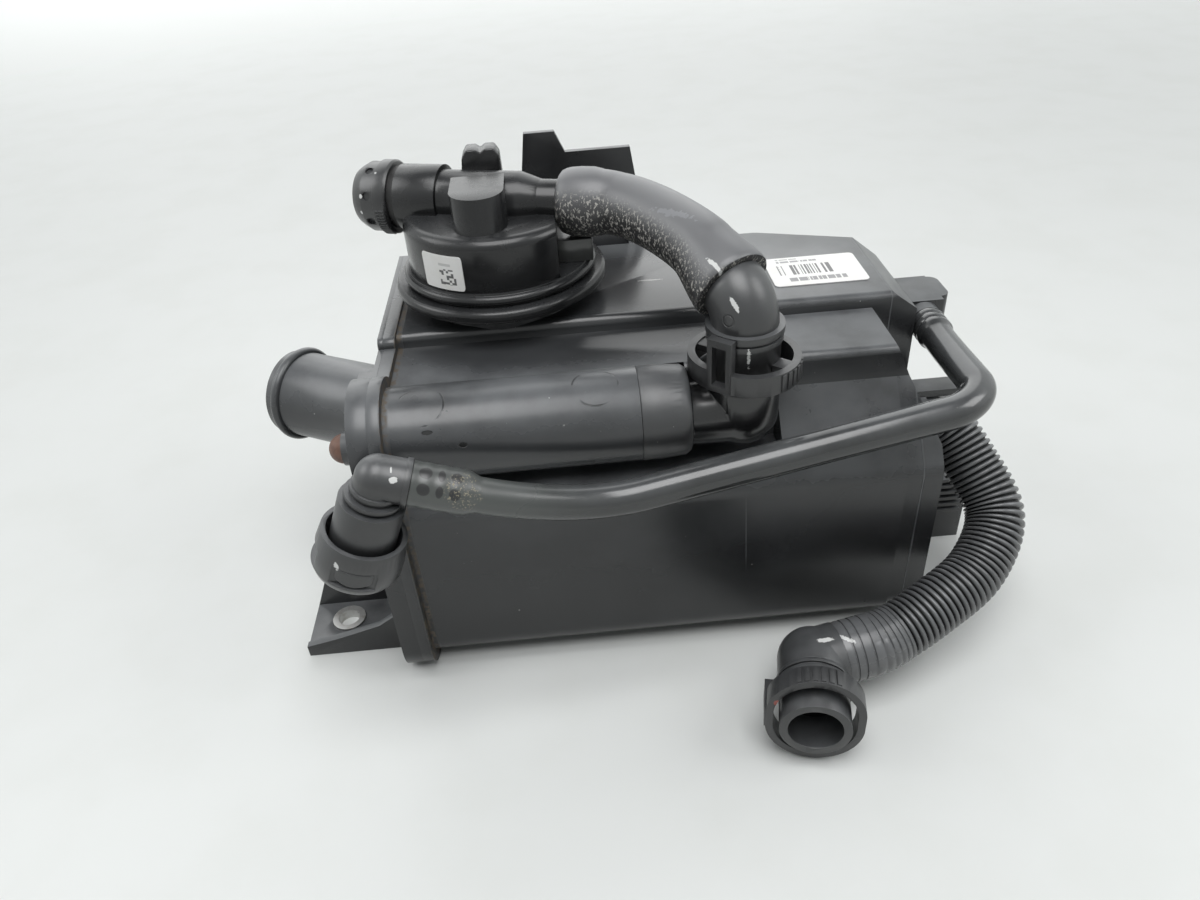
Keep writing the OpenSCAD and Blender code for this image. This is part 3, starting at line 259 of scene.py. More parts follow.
def merged_copy(node):
    """A CAD node's mesh with its loose triangles joined and its flat faces made whole."""
    work = bmesh.new()
    work.from_mesh(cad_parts[node].data)
    bmesh.ops.remove_doubles(work, verts=work.verts, dist=SAME_POINT_M)
    bmesh.ops.dissolve_limit(
        work, angle_limit=math.radians(SAME_FACE_DEG), verts=work.verts, edges=work.edges,
        use_dissolve_boundaries=False,
    )
    return work


def round_edges(work, edges, radius_mm, segments):
    """Those edges of a bmesh rounded off."""
    bmesh.ops.bevel(
        work, geom=edges, offset=radius_mm * MM, offset_type="OFFSET", segments=segments, profile=0.5,
        affect="EDGES",
    )


def piece_from(work, name):
    """A bmesh turned into a piece."""
    mesh = bpy.data.meshes.new(name)
    work.to_mesh(mesh)
    work.free()
    return new_piece(name, mesh)


def softened(node, edge_mm):
    """A copy of a CAD node with its edges rounded as a moulding's are."""
    piece = piece_from(merged_copy(node), node + "_soft")
    rounding = piece.modifiers.new("rounding", "BEVEL")
    rounding.width = edge_mm * MM
    rounding.segments = 2
    rounding.limit_method = "ANGLE"
    rounding.angle_limit = math.radians(ROUNDED_EDGE_DEG)
    rounding.use_clamp_overlap = True
    rounding.harden_normals = False
    baked(piece)
    smooth_by_angle(piece.data, SHARP_EDGE_DEG)
    return piece


def rounded_sticker(node, corner_mm):
    """A copy of a label with round corners."""
    work = merged_copy(node)
    short = [e for e in work.edges if e.calc_length() < STICKER_EDGE_MM * MM]
    corners = [e for e in short if e.calc_face_angle(0.0) > math.radians(60)]
    round_edges(work, corners, corner_mm, 5)
    piece = piece_from(work, node + "_sticker")
    smooth_by_angle(piece.data, 40)
    return piece


def lofted_pipe(name, route, outer, bore, sides):
    """A pipe with an open bore along a route, with a radius outside and inside at each point, all in mm.

    Each point of the mesh keeps its place along the pipe and, on the outer wall, its outward direction.
    """
    count = len(route)
    headings = [(route[min(i + 1, count - 1)] - route[max(i - 1, 0)]).normalized() for i in range(count)]
    lengths = [0.0]
    for here, there in zip(route, route[1:]):
        lengths.append(lengths[-1] + (there - here).length)
    side = Vector((0, 0, 1))
    spokes = []
    for heading in headings:
        side = (side - side.dot(heading) * heading).normalized()
        cross = heading.cross(side)
        turns = [2 * math.pi * j / sides for j in range(sides)]
        spokes.append([math.cos(a) * side + math.sin(a) * cross for a in turns])
    rings = [(i, outer[i], 1.0) for i in range(count)] + [(i, bore[i], 0.0) for i in reversed(range(count))]
    points = []
    along = []
    outward = []
    for i, radius, outside in rings:
        for spoke in spokes[i]:
            points.append(at(*(route[i] + radius * spoke)))
            along.append(lengths[i])
            outward.extend(spoke * outside)
    faces = []
    for r in range(len(rings)):
        here = r * sides
        there = (r + 1) % len(rings) * sides
        for j in range(sides):
            k = (j + 1) % sides
            faces.append((here + j, here + k, there + k, there + j))
    mesh = bpy.data.meshes.new(name)
    mesh.from_pydata(points, [], faces)
    mesh.attributes.new("along_mm", "FLOAT", "POINT").data.foreach_set("value", along)
    mesh.attributes.new("outward", "FLOAT_VECTOR", "POINT").data.foreach_set("vector", outward)
    smooth_by_angle(mesh, 50)
    return new_piece(name, mesh)


class Nodes:
    """Puts nodes into a node tree and fills in their inputs."""

    def __init__(self, tree):
        self.tree = tree

    def feed(self, socket, value):
        """A socket is linked and a plain value is written."""
        if isinstance(value, bpy.types.NodeSocket):
            self.tree.links.new(value, socket)
        else:
            socket.default_value = value

    def add(self, kind, **inputs):
        """A node with its inputs set by name, underscores for spaces."""
        node = self.tree.nodes.new(kind)
        for title, value in inputs.items():
            self.feed(node.inputs[title.replace("_", " ")], value)
        return node

    def math(self, operation, *values, clamp=False):
        node = self.tree.nodes.new("ShaderNodeMath")
        node.operation = operation
        node.use_clamp = clamp
        for socket, value in zip(node.inputs, values):
            self.feed(socket, value)
        return node.outputs[0]

    def times(self, first, *others):
        for other in others:
            first = self.math("MULTIPLY", first, other)
        return first

    def band(self, value, low, high, most=1.0):
        """0 before low and most beyond high, smooth between them."""
        node = self.add("ShaderNodeMapRange", Value=value, From_Min=low, From_Max=high, To_Max=most)
        node.interpolation_type = "SMOOTHSTEP"
        return node.outputs["Result"]

    def mixed(self, share, first, second):
        """The first colour, and the second where share says."""
        node = self.tree.nodes.new("ShaderNodeMix")
        node.data_type = "RGBA"
        self.feed(node.inputs["Factor"], share)
        self.feed(node.inputs[6], first)
        self.feed(node.inputs[7], second)
        return node.outputs[2]

    def shown(self):
        """1 for a ray that shows what it meets, and 0 for one that only lights."""
        ray = self.add("ShaderNodeLightPath").outputs
        seen = self.math("MAXIMUM", ray["Is Camera Ray"], ray["Is Glossy Ray"])
        return self.math("MAXIMUM", seen, ray["Is Transmission Ray"])


# Inputs of the Geometry Nodes trees that aren't plain numbers
INPUT_KINDS = {
    "Geometry": "NodeSocketGeometry",
    "Finish": "NodeSocketMaterial",
    "Count": "NodeSocketInt",
    "Place": "NodeSocketVector",
    "Turn": "NodeSocketVector",
}


class Tree(Nodes):
    """A Geometry Nodes tree with named inputs."""

    def __init__(self, name, *titles):
        super().__init__(bpy.data.node_groups.new(name, "GeometryNodeTree"))
        for title in titles:
            kind = INPUT_KINDS.get(title, "NodeSocketFloat")
            self.tree.interface.new_socket(name=title, in_out="INPUT", socket_type=kind)
        self.tree.interface.new_socket(name="Geometry", in_out="OUTPUT", socket_type="NodeSocketGeometry")
        self.inputs = self.tree.nodes.new("NodeGroupInput").outputs

    def attribute(self, title, kind):
        node = self.add("GeometryNodeInputNamedAttribute", Name=title)
        node.data_type = kind
        return next(s for s in node.outputs if s.enabled and s.name == "Attribute")

    def ends(self, geometry):
        """Real geometry with its finish goes out."""
        real = self.add("GeometryNodeRealizeInstances", Geometry=geometry).outputs["Geometry"]
        dressed = self.add("GeometryNodeSetMaterial", Geometry=real, Material=self.inputs["Finish"])
        out = self.tree.nodes.new("NodeGroupOutput")
        self.tree.links.new(dressed.outputs["Geometry"], out.inputs["Geometry"])

    def applied(self, piece, **sizes):
        """The tree run on a piece with these sizes, and turned into plain mesh."""
        run = piece.modifiers.new(self.tree.name, "NODES")
        run.node_group = self.tree
        items = self.tree.interface.items_tree
        given = {item.name: item.identifier for item in items if item.in_out == "INPUT"}
        for title, value in sizes.items():
            run[given[title.replace("_", " ")]] = value
        return baked(piece)


def corrugation():
    """Rounded crests with narrow grooves between First and Last along a pipe."""
    tree = Tree("corrugation", "Geometry", "First", "Last", "Waves", "Groove Depth", "Finish")
    first, last, waves, groove_depth = (tree.inputs[t] for t in ("First", "Last", "Waves", "Groove Depth"))
    along = tree.attribute("along_mm", "FLOAT")
    outward = tree.attribute("outward", "FLOAT_VECTOR")
    place = tree.add("ShaderNodeMapRange", Value=along, From_Min=first, From_Max=last).outputs["Result"]
    turns = tree.times(place, waves)
    wave = tree.math("COSINE", tree.times(turns, 2 * math.pi))
    groove = tree.math("POWER", tree.math("MULTIPLY_ADD", wave, 0.5, 0.5), WAVE_SHARPNESS)
    begun = tree.math("GREATER_THAN", turns, 0.0)
    groove = tree.times(groove, tree.times(begun, tree.math("LESS_THAN", turns, waves)))
    shift = tree.tree.nodes.new("ShaderNodeVectorMath")
    shift.operation = "SCALE"
    tree.feed(shift.inputs["Vector"], outward)
    tree.feed(shift.inputs["Scale"], tree.times(groove, tree.times(groove_depth, -MM)))
    pipe = tree.inputs["Geometry"]
    moved = tree.add("GeometryNodeSetPosition", Geometry=pipe, Offset=shift.outputs["Vector"])
    kept = tree.add("GeometryNodeStoreNamedAttribute", Geometry=moved.outputs["Geometry"], Name="groove")
    kept.data_type = "FLOAT"
    kept.domain = "POINT"
    tree.feed(next(s for s in kept.inputs if s.name == "Value" and s.enabled), groove)
    tree.ends(kept.outputs["Geometry"])
    return tree


def grip_ribs():
    """Round ribs on an arc about the z axis of a place, each along that axis."""
    tree = Tree(
        "grip_ribs", "Count", "Radius", "First", "Step", "Length", "Thickness", "Place", "Turn", "Finish"
    )
    given = tree.inputs
    line = tree.add("GeometryNodeMeshLine", Count=given["Count"]).outputs["Mesh"]
    index = tree.tree.nodes.new("GeometryNodeInputIndex").outputs["Index"]
    angle = tree.math("MULTIPLY_ADD", index, given["Step"], given["First"])
    x = tree.times(tree.math("COSINE", angle), given["Radius"])
    y = tree.times(tree.math("SINE", angle), given["Radius"])
    spot = tree.add("ShaderNodeCombineXYZ", X=x, Y=y).outputs["Vector"]
    seats = tree.add("GeometryNodeSetPosition", Geometry=line, Position=spot).outputs["Geometry"]
    rib = tree.add("GeometryNodeMeshCylinder", Vertices=10, Radius=given["Thickness"], Depth=given["Length"])
    ribs = tree.add("GeometryNodeInstanceOnPoints", Points=seats, Instance=rib.outputs["Mesh"])
    placed = tree.add(
        "GeometryNodeTransform", Geometry=ribs.outputs["Instances"], Translation=given["Place"],
        Rotation=given["Turn"],
    )
    tree.ends(placed.outputs["Geometry"])
    return tree


def ribs_on(name, centre, axis, radius, count, first, step, length, thickness, finish):
    """A row of grip ribs round an axis of the drawing frame; sizes in mm and degrees."""
    piece = new_piece(name, bpy.data.meshes.new(name))
    GRIP_RIBS.applied(
        piece, Count=count, Radius=radius * MM, First=math.radians(first), Step=math.radians(step),
        Length=length * MM, Thickness=thickness * MM, Place=at(*centre),
        Turn=tuple(Vector(axis).to_track_quat("Z", "X").to_euler()), Finish=finish,
    )
    smooth_by_angle(piece.data, 50)
    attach(piece, "root")


# Nodes of the finishes

# The way that the marks on the front face, and how deep they are looked for
MARK_FACING = Vector((0.05, -0.77, 0.64))
MARK_DEPTH_MM = 4.0


class Finish(Nodes):
    """A procedural material on Object coordinates, built up step by step."""

    def __init__(self, name, colour, roughness):
        self.material = bpy.data.materials.new(name)
        self.material.use_nodes = True
        super().__init__(self.material.node_tree)
        self.shader = self.tree.nodes["Principled BSDF"]
        self.coords = self.add("ShaderNodeTexCoord").outputs["Object"]
        self.colour = (*colour, 1.0)
        self.roughness = roughness
        self.normal = None

    def without(self, share):
        return self.math("SUBTRACT", 1.0, share)

    def noise(self, size_mm, detail=3.0, rough=0.55, stretch=None):
        """Noise with features of about that size, drawn out along the axes by stretch."""
        coords = self.coords
        if stretch:
            scale = tuple(1.0 / s for s in stretch)
            coords = self.add("ShaderNodeMapping", Vector=coords, Scale=scale).outputs[0]
        scale = 1.0 / (size_mm * MM)
        node = self.add("ShaderNodeTexNoise", Vector=coords, Scale=scale, Detail=detail, Roughness=rough)
        return node.outputs["Fac"]

    def specks(self, apart_mm, size_mm, share, strength):
        """Small round pale specks, one in a part of the cells."""
        node = self.add("ShaderNodeTexVoronoi", Vector=self.coords, Scale=1.0 / (apart_mm * MM))
        chosen = self.add("ShaderNodeSeparateColor", Color=node.outputs["Color"]).outputs["Red"]
        size = size_mm / apart_mm
        near = self.without(self.band(node.outputs["Distance"], size * 0.35, size * 0.5))
        here = self.times(near, self.math("LESS_THAN", chosen, share))
        self.tint(here, PALE_SPECK, strength)

    def facing_up(self, low, high):
        """How far the surface faces up, from low to high of its normal's height."""
        normal = self.add("ShaderNodeNewGeometry").outputs["Normal"]
        return self.band(self.add("ShaderNodeSeparateXYZ", Vector=normal).outputs["Z"], low, high)

    def place_along(self, axis, low_mm, high_mm):
        """0 below one place and 1 above the other along an axis of the drawing frame."""
        shift = HOME["XYZ".index(axis)]
        value = self.add("ShaderNodeSeparateXYZ", Vector=self.coords).outputs[axis]
        return self.band(value, (low_mm + shift) * MM, (high_mm + shift) * MM)

    def between(self, axis, low_mm, high_mm, soft_mm=0.1):
        """1 between two places along an axis of the drawing frame."""
        above = self.place_along(axis, low_mm - soft_mm, low_mm + soft_mm)
        return self.times(above, self.without(self.place_along(axis, high_mm - soft_mm, high_mm + soft_mm)))

    def attribute(self, name):
        node = self.tree.nodes.new("ShaderNodeAttribute")
        node.attribute_name = name
        return node.outputs["Fac"]

    def distance(self, centre, reach_mm, turn=(0, 0, 0)):
        """Distance from a place, 1 at reach_mm along its own axes."""
        mapping = self.add(
            "ShaderNodeMapping", Vector=self.coords, Location=at(*centre), Rotation=turn,
            Scale=[r * MM for r in reach_mm],
        )
        mapping.vector_type = "TEXTURE"
        length = self.add("ShaderNodeVectorMath")
        length.operation = "LENGTH"
        self.feed(length.inputs[0], mapping.outputs[0])
        return length.outputs["Value"]

    def spot(self, centre, reach_mm, turn=(0, 0, 0), ragged=0.5):
        """1 inside an egg-shaped place with ragged edges."""
        far = self.distance(centre, reach_mm, turn)
        uneven = self.math("SUBTRACT", self.noise(min(reach_mm) * 1.2, 4.0), 0.5)
        wavy = self.times(uneven, ragged * 2)
        return self.without(self.band(self.math("ADD", far, wavy), 0.8, 1.0))

    def streak(self, start, end, width_mm, ragged=0.6):
        """1 along a ragged streak on the front, from one place to another."""
        start = Vector(start)
        run = Vector(end) - start
        along = run.normalized()
        across = MARK_FACING.cross(along).normalized()
        turn = Matrix((along, across, along.cross(across))).transposed().to_euler()
        half = (run.length / 2 + width_mm / 2, width_mm / 2, MARK_DEPTH_MM)
        return self.spot(start + run / 2, half, tuple(turn), ragged)

    def circle(self, centre, radius_mm, line_mm):
        """1 on a thin circle round a place of the surface."""
        far = self.distance(centre, (radius_mm,) * 3)
        line = line_mm / radius_mm
        off_line = self.math("ABSOLUTE", self.math("SUBTRACT", far, 1.0))
        return self.without(self.band(off_line, line * 0.4, line))

    def tint(self, share, colour, strength=1.0):
        """The colour laid over what is there, where share says."""
        strong = self.math("MULTIPLY", share, strength, clamp=True)
        self.colour = self.mixed(strong, self.colour, (*colour, 1.0))

    def roughen(self, share, amount):
        self.roughness = self.math("ADD", self.times(share, amount), self.roughness, clamp=True)

    def raise_by(self, height, depth_mm):
        """Surface relief of that depth."""
        node = self.add("ShaderNodeBump", Strength=1.0, Distance=depth_mm * MM, Height=height)
        if self.normal is not None:
            self.feed(node.inputs["Normal"], self.normal)
        self.normal = node.outputs["Normal"]

    def paint(self, *marks):
        """Dabs of white marking paint."""
        for mark in marks:
            self.tint(mark, WHITE_PAINT, 0.85)
            self.roughen(mark, 0.15)

    def done(self, **shader):
        self.feed(self.shader.inputs["Base Color"], self.colour)
        self.feed(self.shader.inputs["Roughness"], self.roughness)
        if self.normal is not None:
            self.feed(self.shader.inputs["Normal"], self.normal)
        for name, value in shader.items():
            self.shader.inputs[name.replace("_", " ")].default_value = value
        return self.material


# Finishes

WHITE_PAINT = (0.72, 0.73, 0.72)
# Pale grey of dust, also used as painted sheen and painted light
DUST_AND_SHEEN = (0.222, 0.234, 0.245)
BROWN_DIRT = (0.085, 0.062, 0.036)
PALE_SPECK = (0.55, 0.55, 0.53)
# Painted shade in dents and thin grooves
RECESS_SHADE = (0.004, 0.004, 0.004)
# Specular level of the black mouldings, and of the duller casing and pump
GLOSS = 0.8
CASING_GLOSS = 0.6
PUMP_GLOSS = 0.5
PLASTIC_IOR = 1.5


def moulded_black(name, colour, roughness, dust_and_sheen, grain=(0.35, 0.01), gloss=GLOSS, clean_and_shaded_spot=None):
    """Black moulded plastic: grain of a size and depth, uneven gloss, and dust on what faces up that also
    paints the sheen of the light from above.
    """
    grain_mm, grain_depth = grain
    finish = Finish(name, colour, roughness)
    finish.feed(finish.shader.inputs["Specular IOR Level"], gloss)
    finish.raise_by(finish.noise(grain_mm, 2.0), grain_depth)
    finish.roughen(finish.math("SUBTRACT", finish.noise(9.0, 3.0), 0.5), 0.06)
    finish.tint(finish.band(finish.noise(28.0, 4.0), 0.4, 0.7), DUST_AND_SHEEN, 0.03)
    # Dust on what faces up, which also paints the sheen of the light from above
    dust_and_sheen_film = finish.times(finish.facing_up(0.1, 0.95), finish.band(finish.noise(22.0, 5.0), 0.1, 0.7))
    # Less dust and sheen inside the spot: on the casing this paints the shade and dark reflection of the pump
    # and hose on the deck
    if clean_and_shaded_spot:
        dust_and_sheen_film = finish.times(dust_and_sheen_film, finish.band(finish.distance(*clean_and_shaded_spot), 0.75, 1.1))
    finish.tint(dust_and_sheen_film, DUST_AND_SHEEN, dust_and_sheen)
    finish.roughen(dust_and_sheen_film, 0.06)
    return finish


def casing_finish():
    finish = moulded_black(
        "casing_black", (0.01, 0.0104, 0.0113), roughness=0.26, dust_and_sheen=0.5, gloss=CASING_GLOSS,
        # Around the pump the deck keeps less dust: painted shade and dark reflection of the pump and hose
        clean_and_shaded_spot=((-40, 12, 125), (80, 46, 60)),
    )
    # Painted light from above: the walls are tinted paler towards the top, less to the right and not on the
    # tower
    tower = finish.place_along("Z", 128, 136)
    walls_lit_from_above = finish.times(finish.place_along("Z", 15, 100), finish.without(tower))
    right_end = finish.times(finish.place_along("X", 30, 85), 0.8)
    finish.tint(finish.times(walls_lit_from_above, finish.without(right_end)), DUST_AND_SHEEN, 0.12)
    # Moulding marks on the scrubber tube and the chamber; their thin grooves and the dents are darkened as
    # painted shade
    for centre in ((-88.9, -51.6, 122.7), (-28.8, -49.8, 123.3)):
        line = finish.times(finish.circle(centre, 8.0, 0.35), finish.band(finish.noise(9.0, 2.0), 0.42, 0.55))
        finish.raise_by(line, -0.25)
        finish.tint(line, RECESS_SHADE, 0.7)
    for centre, reach in (((-87, -59.3, 116.2), (2.0, 0.8, 0.9)), ((-75.4, -61.4, 111.4), (1.7, 1.0, 1.1))):
        dent = finish.spot(centre, reach, ragged=0.3)
        finish.raise_by(dent, -0.5)
        finish.tint(dent, RECESS_SHADE, 0.8)
    seam = finish.between("X", 89.3, 89.9)
    finish.raise_by(seam, 0.2)
    finish.tint(finish.times(seam, finish.noise(9.0)), DUST_AND_SHEEN, 0.5)
    # Wear
    finish.tint(finish.streak((23.1, -60, 74.5), (24.3, -60, 39), 0.4, 0.9), DUST_AND_SHEEN, 0.3)
    finish.tint(finish.streak((-6.5, 24.8, 125), (3.8, 24.6, 125), 0.9), PALE_SPECK, 0.6)
    finish.specks(11.0, 0.55, 0.55, 0.6)
    finish.specks(4.0, 0.25, 0.3, 0.4)
    # Dirt in the groove between the rim and the casing
    groove = finish.between("X", -102.2, -100.1, 0.5)
    finish.tint(finish.times(groove, finish.band(finish.noise(2.4, 5.0), 0.44, 0.6)), BROWN_DIRT, 0.8)
    finish.roughen(groove, 0.3)
    return finish.done()


def cap_finish():
    finish = moulded_black(
        "cap_grey_black", (0.022, 0.0227, 0.024), roughness=0.36, dust_and_sheen=0.32, grain=(0.3, 0.012)
    )
    finish.specks(9.0, 0.4, 0.4, 0.5)
    # The neck and the riser are blacker and glossier than the cap
    neck = finish.place_along("X", 3.2, 3.8)
    finish.tint(neck, (0.007, 0.0072, 0.0077), 0.9)
    finish.roughen(neck, -0.15)
    return finish.done()


def pump_finish():
    finish = moulded_black(
        "pump_glossy_black", (0.011, 0.0113, 0.012), roughness=0.22, dust_and_sheen=0.1, grain=(0.8, 0.003),
        gloss=PUMP_GLOSS,
    )
    finish.roughen(finish.band(finish.noise(9.0, 5.0), 0.5, 0.75), 0.1)
    finish.specks(6.0, 0.3, 0.4, 0.4)
    return finish.done(IOR=PLASTIC_IOR)


def connector_black(name):
    """Satin black of the quick connectors."""
    finish = moulded_black(name, (0.022, 0.0226, 0.0236), roughness=0.33, dust_and_sheen=0.32, grain=(0.35, 0.02))
    finish.specks(5.0, 0.3, 0.4, 0.5)
    return finish


def hose_elbow_finish():
    finish = connector_black("hose_elbow_black")
    finish.raise_by(finish.circle((15.5, -54.0, 145.5), 2.2, 0.3), -0.25)
    finish.paint(
        finish.streak((17.2, -51.5, 152.4), (19.1, -53.9, 149.1), 1.5),
        finish.streak((22.3, -58.1, 136.7), (22.9, -61.1, 128.8), 1.3, 1.1),
    )
    return finish.done()


def purge_elbow_finish():
    finish = connector_black("purge_elbow_black")
    finish.paint(
        finish.spot((-94.3, -89, 119.8), (1.4, 1.2, 1.2), ragged=0.7),
        finish.streak((-94.8, -87.5, 122.0), (-94.8, -86.0, 122.4), 0.6),
    )
    return finish.done()


def vent_elbow_finish():
    finish = connector_black("vent_elbow_black")
    finish.paint(finish.streak((43.9, -94.3, 33.6), (49.3, -93.7, 33.2), 1.5))
    return finish.done()


def clip_finish():
    finish = connector_black("purge_clip_black")
    finish.paint(finish.spot((-116.8, -96.6, 93.1), (0.9, 1.2, 1.7), ragged=0.4))
    return finish.done()


def lock_ring_finish():
    finish = moulded_black(
        "lock_ring_grey", (0.019, 0.0193, 0.0203), roughness=0.34, dust_and_sheen=0.16, grain=(0.3, 0.01)
    )
    finish.specks(5.0, 0.3, 0.4, 0.5)
    for centre in ((24.0, -116.4, 29.5), (48.6, -116.2, 30.2)):
        finish.tint(finish.spot(centre, (1.3, 1.6, 1.4), ragged=0.6), (0.3, 0.05, 0.03), 0.9)
    return finish.done()


def hose_finish():
    """Grey rubber: dark, its smooth upper side paler from dust and painted light from above, light scuffs on
    the lower side.
    """
    finish = Finish("hose_grey_rubber", (0.022, 0.022, 0.023), 0.34)
    # Dust and painted light from above on the upper side
    dusty_lit_upper = finish.facing_up(-0.1, 0.85)
    finish.tint(dusty_lit_upper, (0.15, 0.154, 0.162), 0.85)
    lower = finish.without(finish.facing_up(0.25, 0.72))
    scuff = finish.band(finish.noise(0.85, 3.0, 0.7, stretch=(1.0, 1.0, 1.9)), 0.535, 0.61)
    patchy = finish.band(finish.noise(9.0, 2.0), 0.2, 0.45)
    finish.tint(finish.times(scuff, lower, patchy), (0.5, 0.485, 0.45), 0.9)
    finish.raise_by(finish.times(scuff, lower), 0.06)
    finish.raise_by(finish.noise(0.6, 3.0), 0.012)
    finish.roughen(finish.noise(7.0, 3.0), 0.12)
    finish.tint(finish.streak((-4.0, -13.5, 171.0), (8.0, -24.0, 170.0), 2.6, 1.6), (0.3, 0.31, 0.33), 0.35)
    finish.paint(finish.streak((11.3, -42.4, 163.0), (15.3, -46.0, 157.7), 1.7))
    return finish.done(Specular_IOR_Level=GLOSS)


def purge_pipe_finish():
    """Glossy dark pipe; the end over the barbs is paler, with the dark barbs showing through it."""
    finish = moulded_black(
        "purge_pipe_grey_black", (0.018, 0.019, 0.0193), roughness=0.14, dust_and_sheen=0.3, grain=(0.6, 0.003)
    )
    sleeve = finish.without(finish.place_along("X", -70.0, -25.0))
    finish.tint(sleeve, (0.065, 0.072, 0.068), 0.8)
    finish.roughen(sleeve, 0.16)
    front = (Vector((0, -1, 0)) - PURGE_OUT * PURGE_OUT.dot(Vector((0, -1, 0)))).normalized()
    above = front.cross(PURGE_OUT)
    above = above if above.z > 0 else -above
    turn = tuple(Vector((1, 0, 0)).rotation_difference(PURGE_OUT).to_euler())
    for out_mm, half_mm in ((4.3, 2.3), (9.4, 1.3), (14.2, 2.0)):
        for angle in (70, 27):
            lift = math.cos(math.radians(angle)) * front + math.sin(math.radians(angle)) * above
            barb = finish.spot(PURGE_END + PURGE_OUT * out_mm + lift * 7.5, (half_mm, 2.4, 2.1), turn, 0.15)
            finish.tint(barb, (0.006, 0.006, 0.007), 0.92)
    grit_place = finish.spot((-74.5, -87.5, 111.5), (8.0, 7.0, 6.0), ragged=0.5)
    gritty = finish.times(grit_place, finish.band(finish.noise(0.7, 3.0), 0.55, 0.64))
    finish.tint(gritty, (0.3, 0.27, 0.19), 0.7)
    finish.roughen(gritty, 0.3)
    finish.specks(7.0, 0.35, 0.4, 0.5)
    return finish.done()


def vent_pipe_finish():
    """Satin black; the grooves are tinted near black as painted shade, so the crests stand out paler."""
    finish = moulded_black(
        "vent_pipe_black", (0.08, 0.082, 0.085), roughness=0.26, dust_and_sheen=0.4, grain=(0.4, 0.006)
    )
    # Painted shade in the grooves
    finish.tint(finish.band(finish.attribute("groove"), 0.15, 0.75), (0.002, 0.002, 0.002), 0.88)
    finish.specks(9.0, 0.5, 0.3, 0.5)
    finish.paint(finish.streak((52.5, -92.7, 33.3), (57.2, -95.5, 32.6), 1.4, 0.9))
    return finish.done()


def coupling_finish():
    finish = moulded_black(
        "coupling_black", (0.012, 0.0122, 0.013), roughness=0.28, dust_and_sheen=0.16, grain=(0.3, 0.01)
    )
    finish.specks(4.0, 0.3, 0.4, 0.5)
    middle = PUMP_CENTRE - PORT_OUT * (HOUSING_R + 12.5)
    side = Vector((0, 0, 1)).cross(PORT_OUT)
    for angle, further in ((20, 0.6), (-8, 1.6), (58, -5.0)):
        lift = math.sin(math.radians(angle)) * Vector((0, 0, 1)) - math.cos(math.radians(angle)) * side
        finish.paint(finish.spot(middle - PORT_OUT * further + lift * 13.4, (0.9, 0.9, 0.9), ragged=0.2))
    return finish.done()


def socket_finish():
    finish = moulded_black("socket_grey", (0.05, 0.052, 0.05), roughness=0.18, dust_and_sheen=0.2, grain=(0.5, 0.006))
    return finish.done()


def plug_finish():
    finish = Finish("plug_brown", (0.16, 0.085, 0.06), 0.5)
    finish.tint(finish.band(finish.noise(2.5, 4.0), 0.45, 0.7), (0.09, 0.05, 0.04), 0.6)
    finish.raise_by(finish.noise(0.5, 3.0), 0.02)
    return finish.done()


def steel_finish(name):
    finish = Finish(name, (0.55, 0.55, 0.54), 0.35)
    finish.roughen(finish.noise(1.5, 3.0, 0.6, stretch=(1.0, 1.0, 6.0)), 0.2)
    finish.tint(finish.band(finish.noise(3.0, 4.0), 0.5, 0.7), (0.3, 0.26, 0.22), 0.4)
    return finish.done(Metallic=1.0)


def seal_finish(name, colour):
    finish = Finish(name, colour, 0.5)
    finish.raise_by(finish.noise(0.5, 2.0), 0.01)
    finish.tint(finish.band(finish.noise(2.0, 3.0), 0.4, 0.7), tuple(c * 0.5 for c in colour), 0.6)
    return finish.done()


def label_white(name):
    """Sticker stock with a little yellowing."""
    finish = Finish(name, (0.78, 0.78, 0.77), 0.32)
    finish.tint(finish.band(finish.noise(8.0, 4.0), 0.45, 0.75), (0.68, 0.67, 0.63), 0.4)
    finish.raise_by(finish.noise(0.4, 2.0), 0.004)
    return finish


# The bars and dashes run straight across the roof label
PRINT_STRETCH = (1.0, 400.0, 400.0)
# Side of a cell on the pump label
CELL_MM = 0.9


def roof_label_finish():
    """A plain block of bars between rows of grey dashes."""
    finish = label_white("roof_label_white")
    bars = finish.math("GREATER_THAN", finish.noise(0.75, 0.0, 0.5, stretch=PRINT_STRETCH), 0.5)
    block = finish.times(bars, finish.between("X", 51, 75), finish.between("Y", 17.5, 26.5))
    finish.tint(block, (0.05, 0.05, 0.055), 0.9)
    dashes = finish.math("GREATER_THAN", finish.noise(1.1, 1.0, 0.5, stretch=PRINT_STRETCH), 0.44)
    # Rows of dashes: first and last y, first and last x, and how dark
    rows = ((29.0, 30.6, 52, 69, 0.75), (11.5, 14.8, 54, 77, 0.8), (31.6, 32.6, 52, 61, 0.6))
    for low, high, first, last, shade in rows:
        row = finish.times(dashes, finish.between("Y", low, high), finish.between("X", first, last))
        finish.tint(row, (0.13, 0.13, 0.14), shade)
    return finish.done()


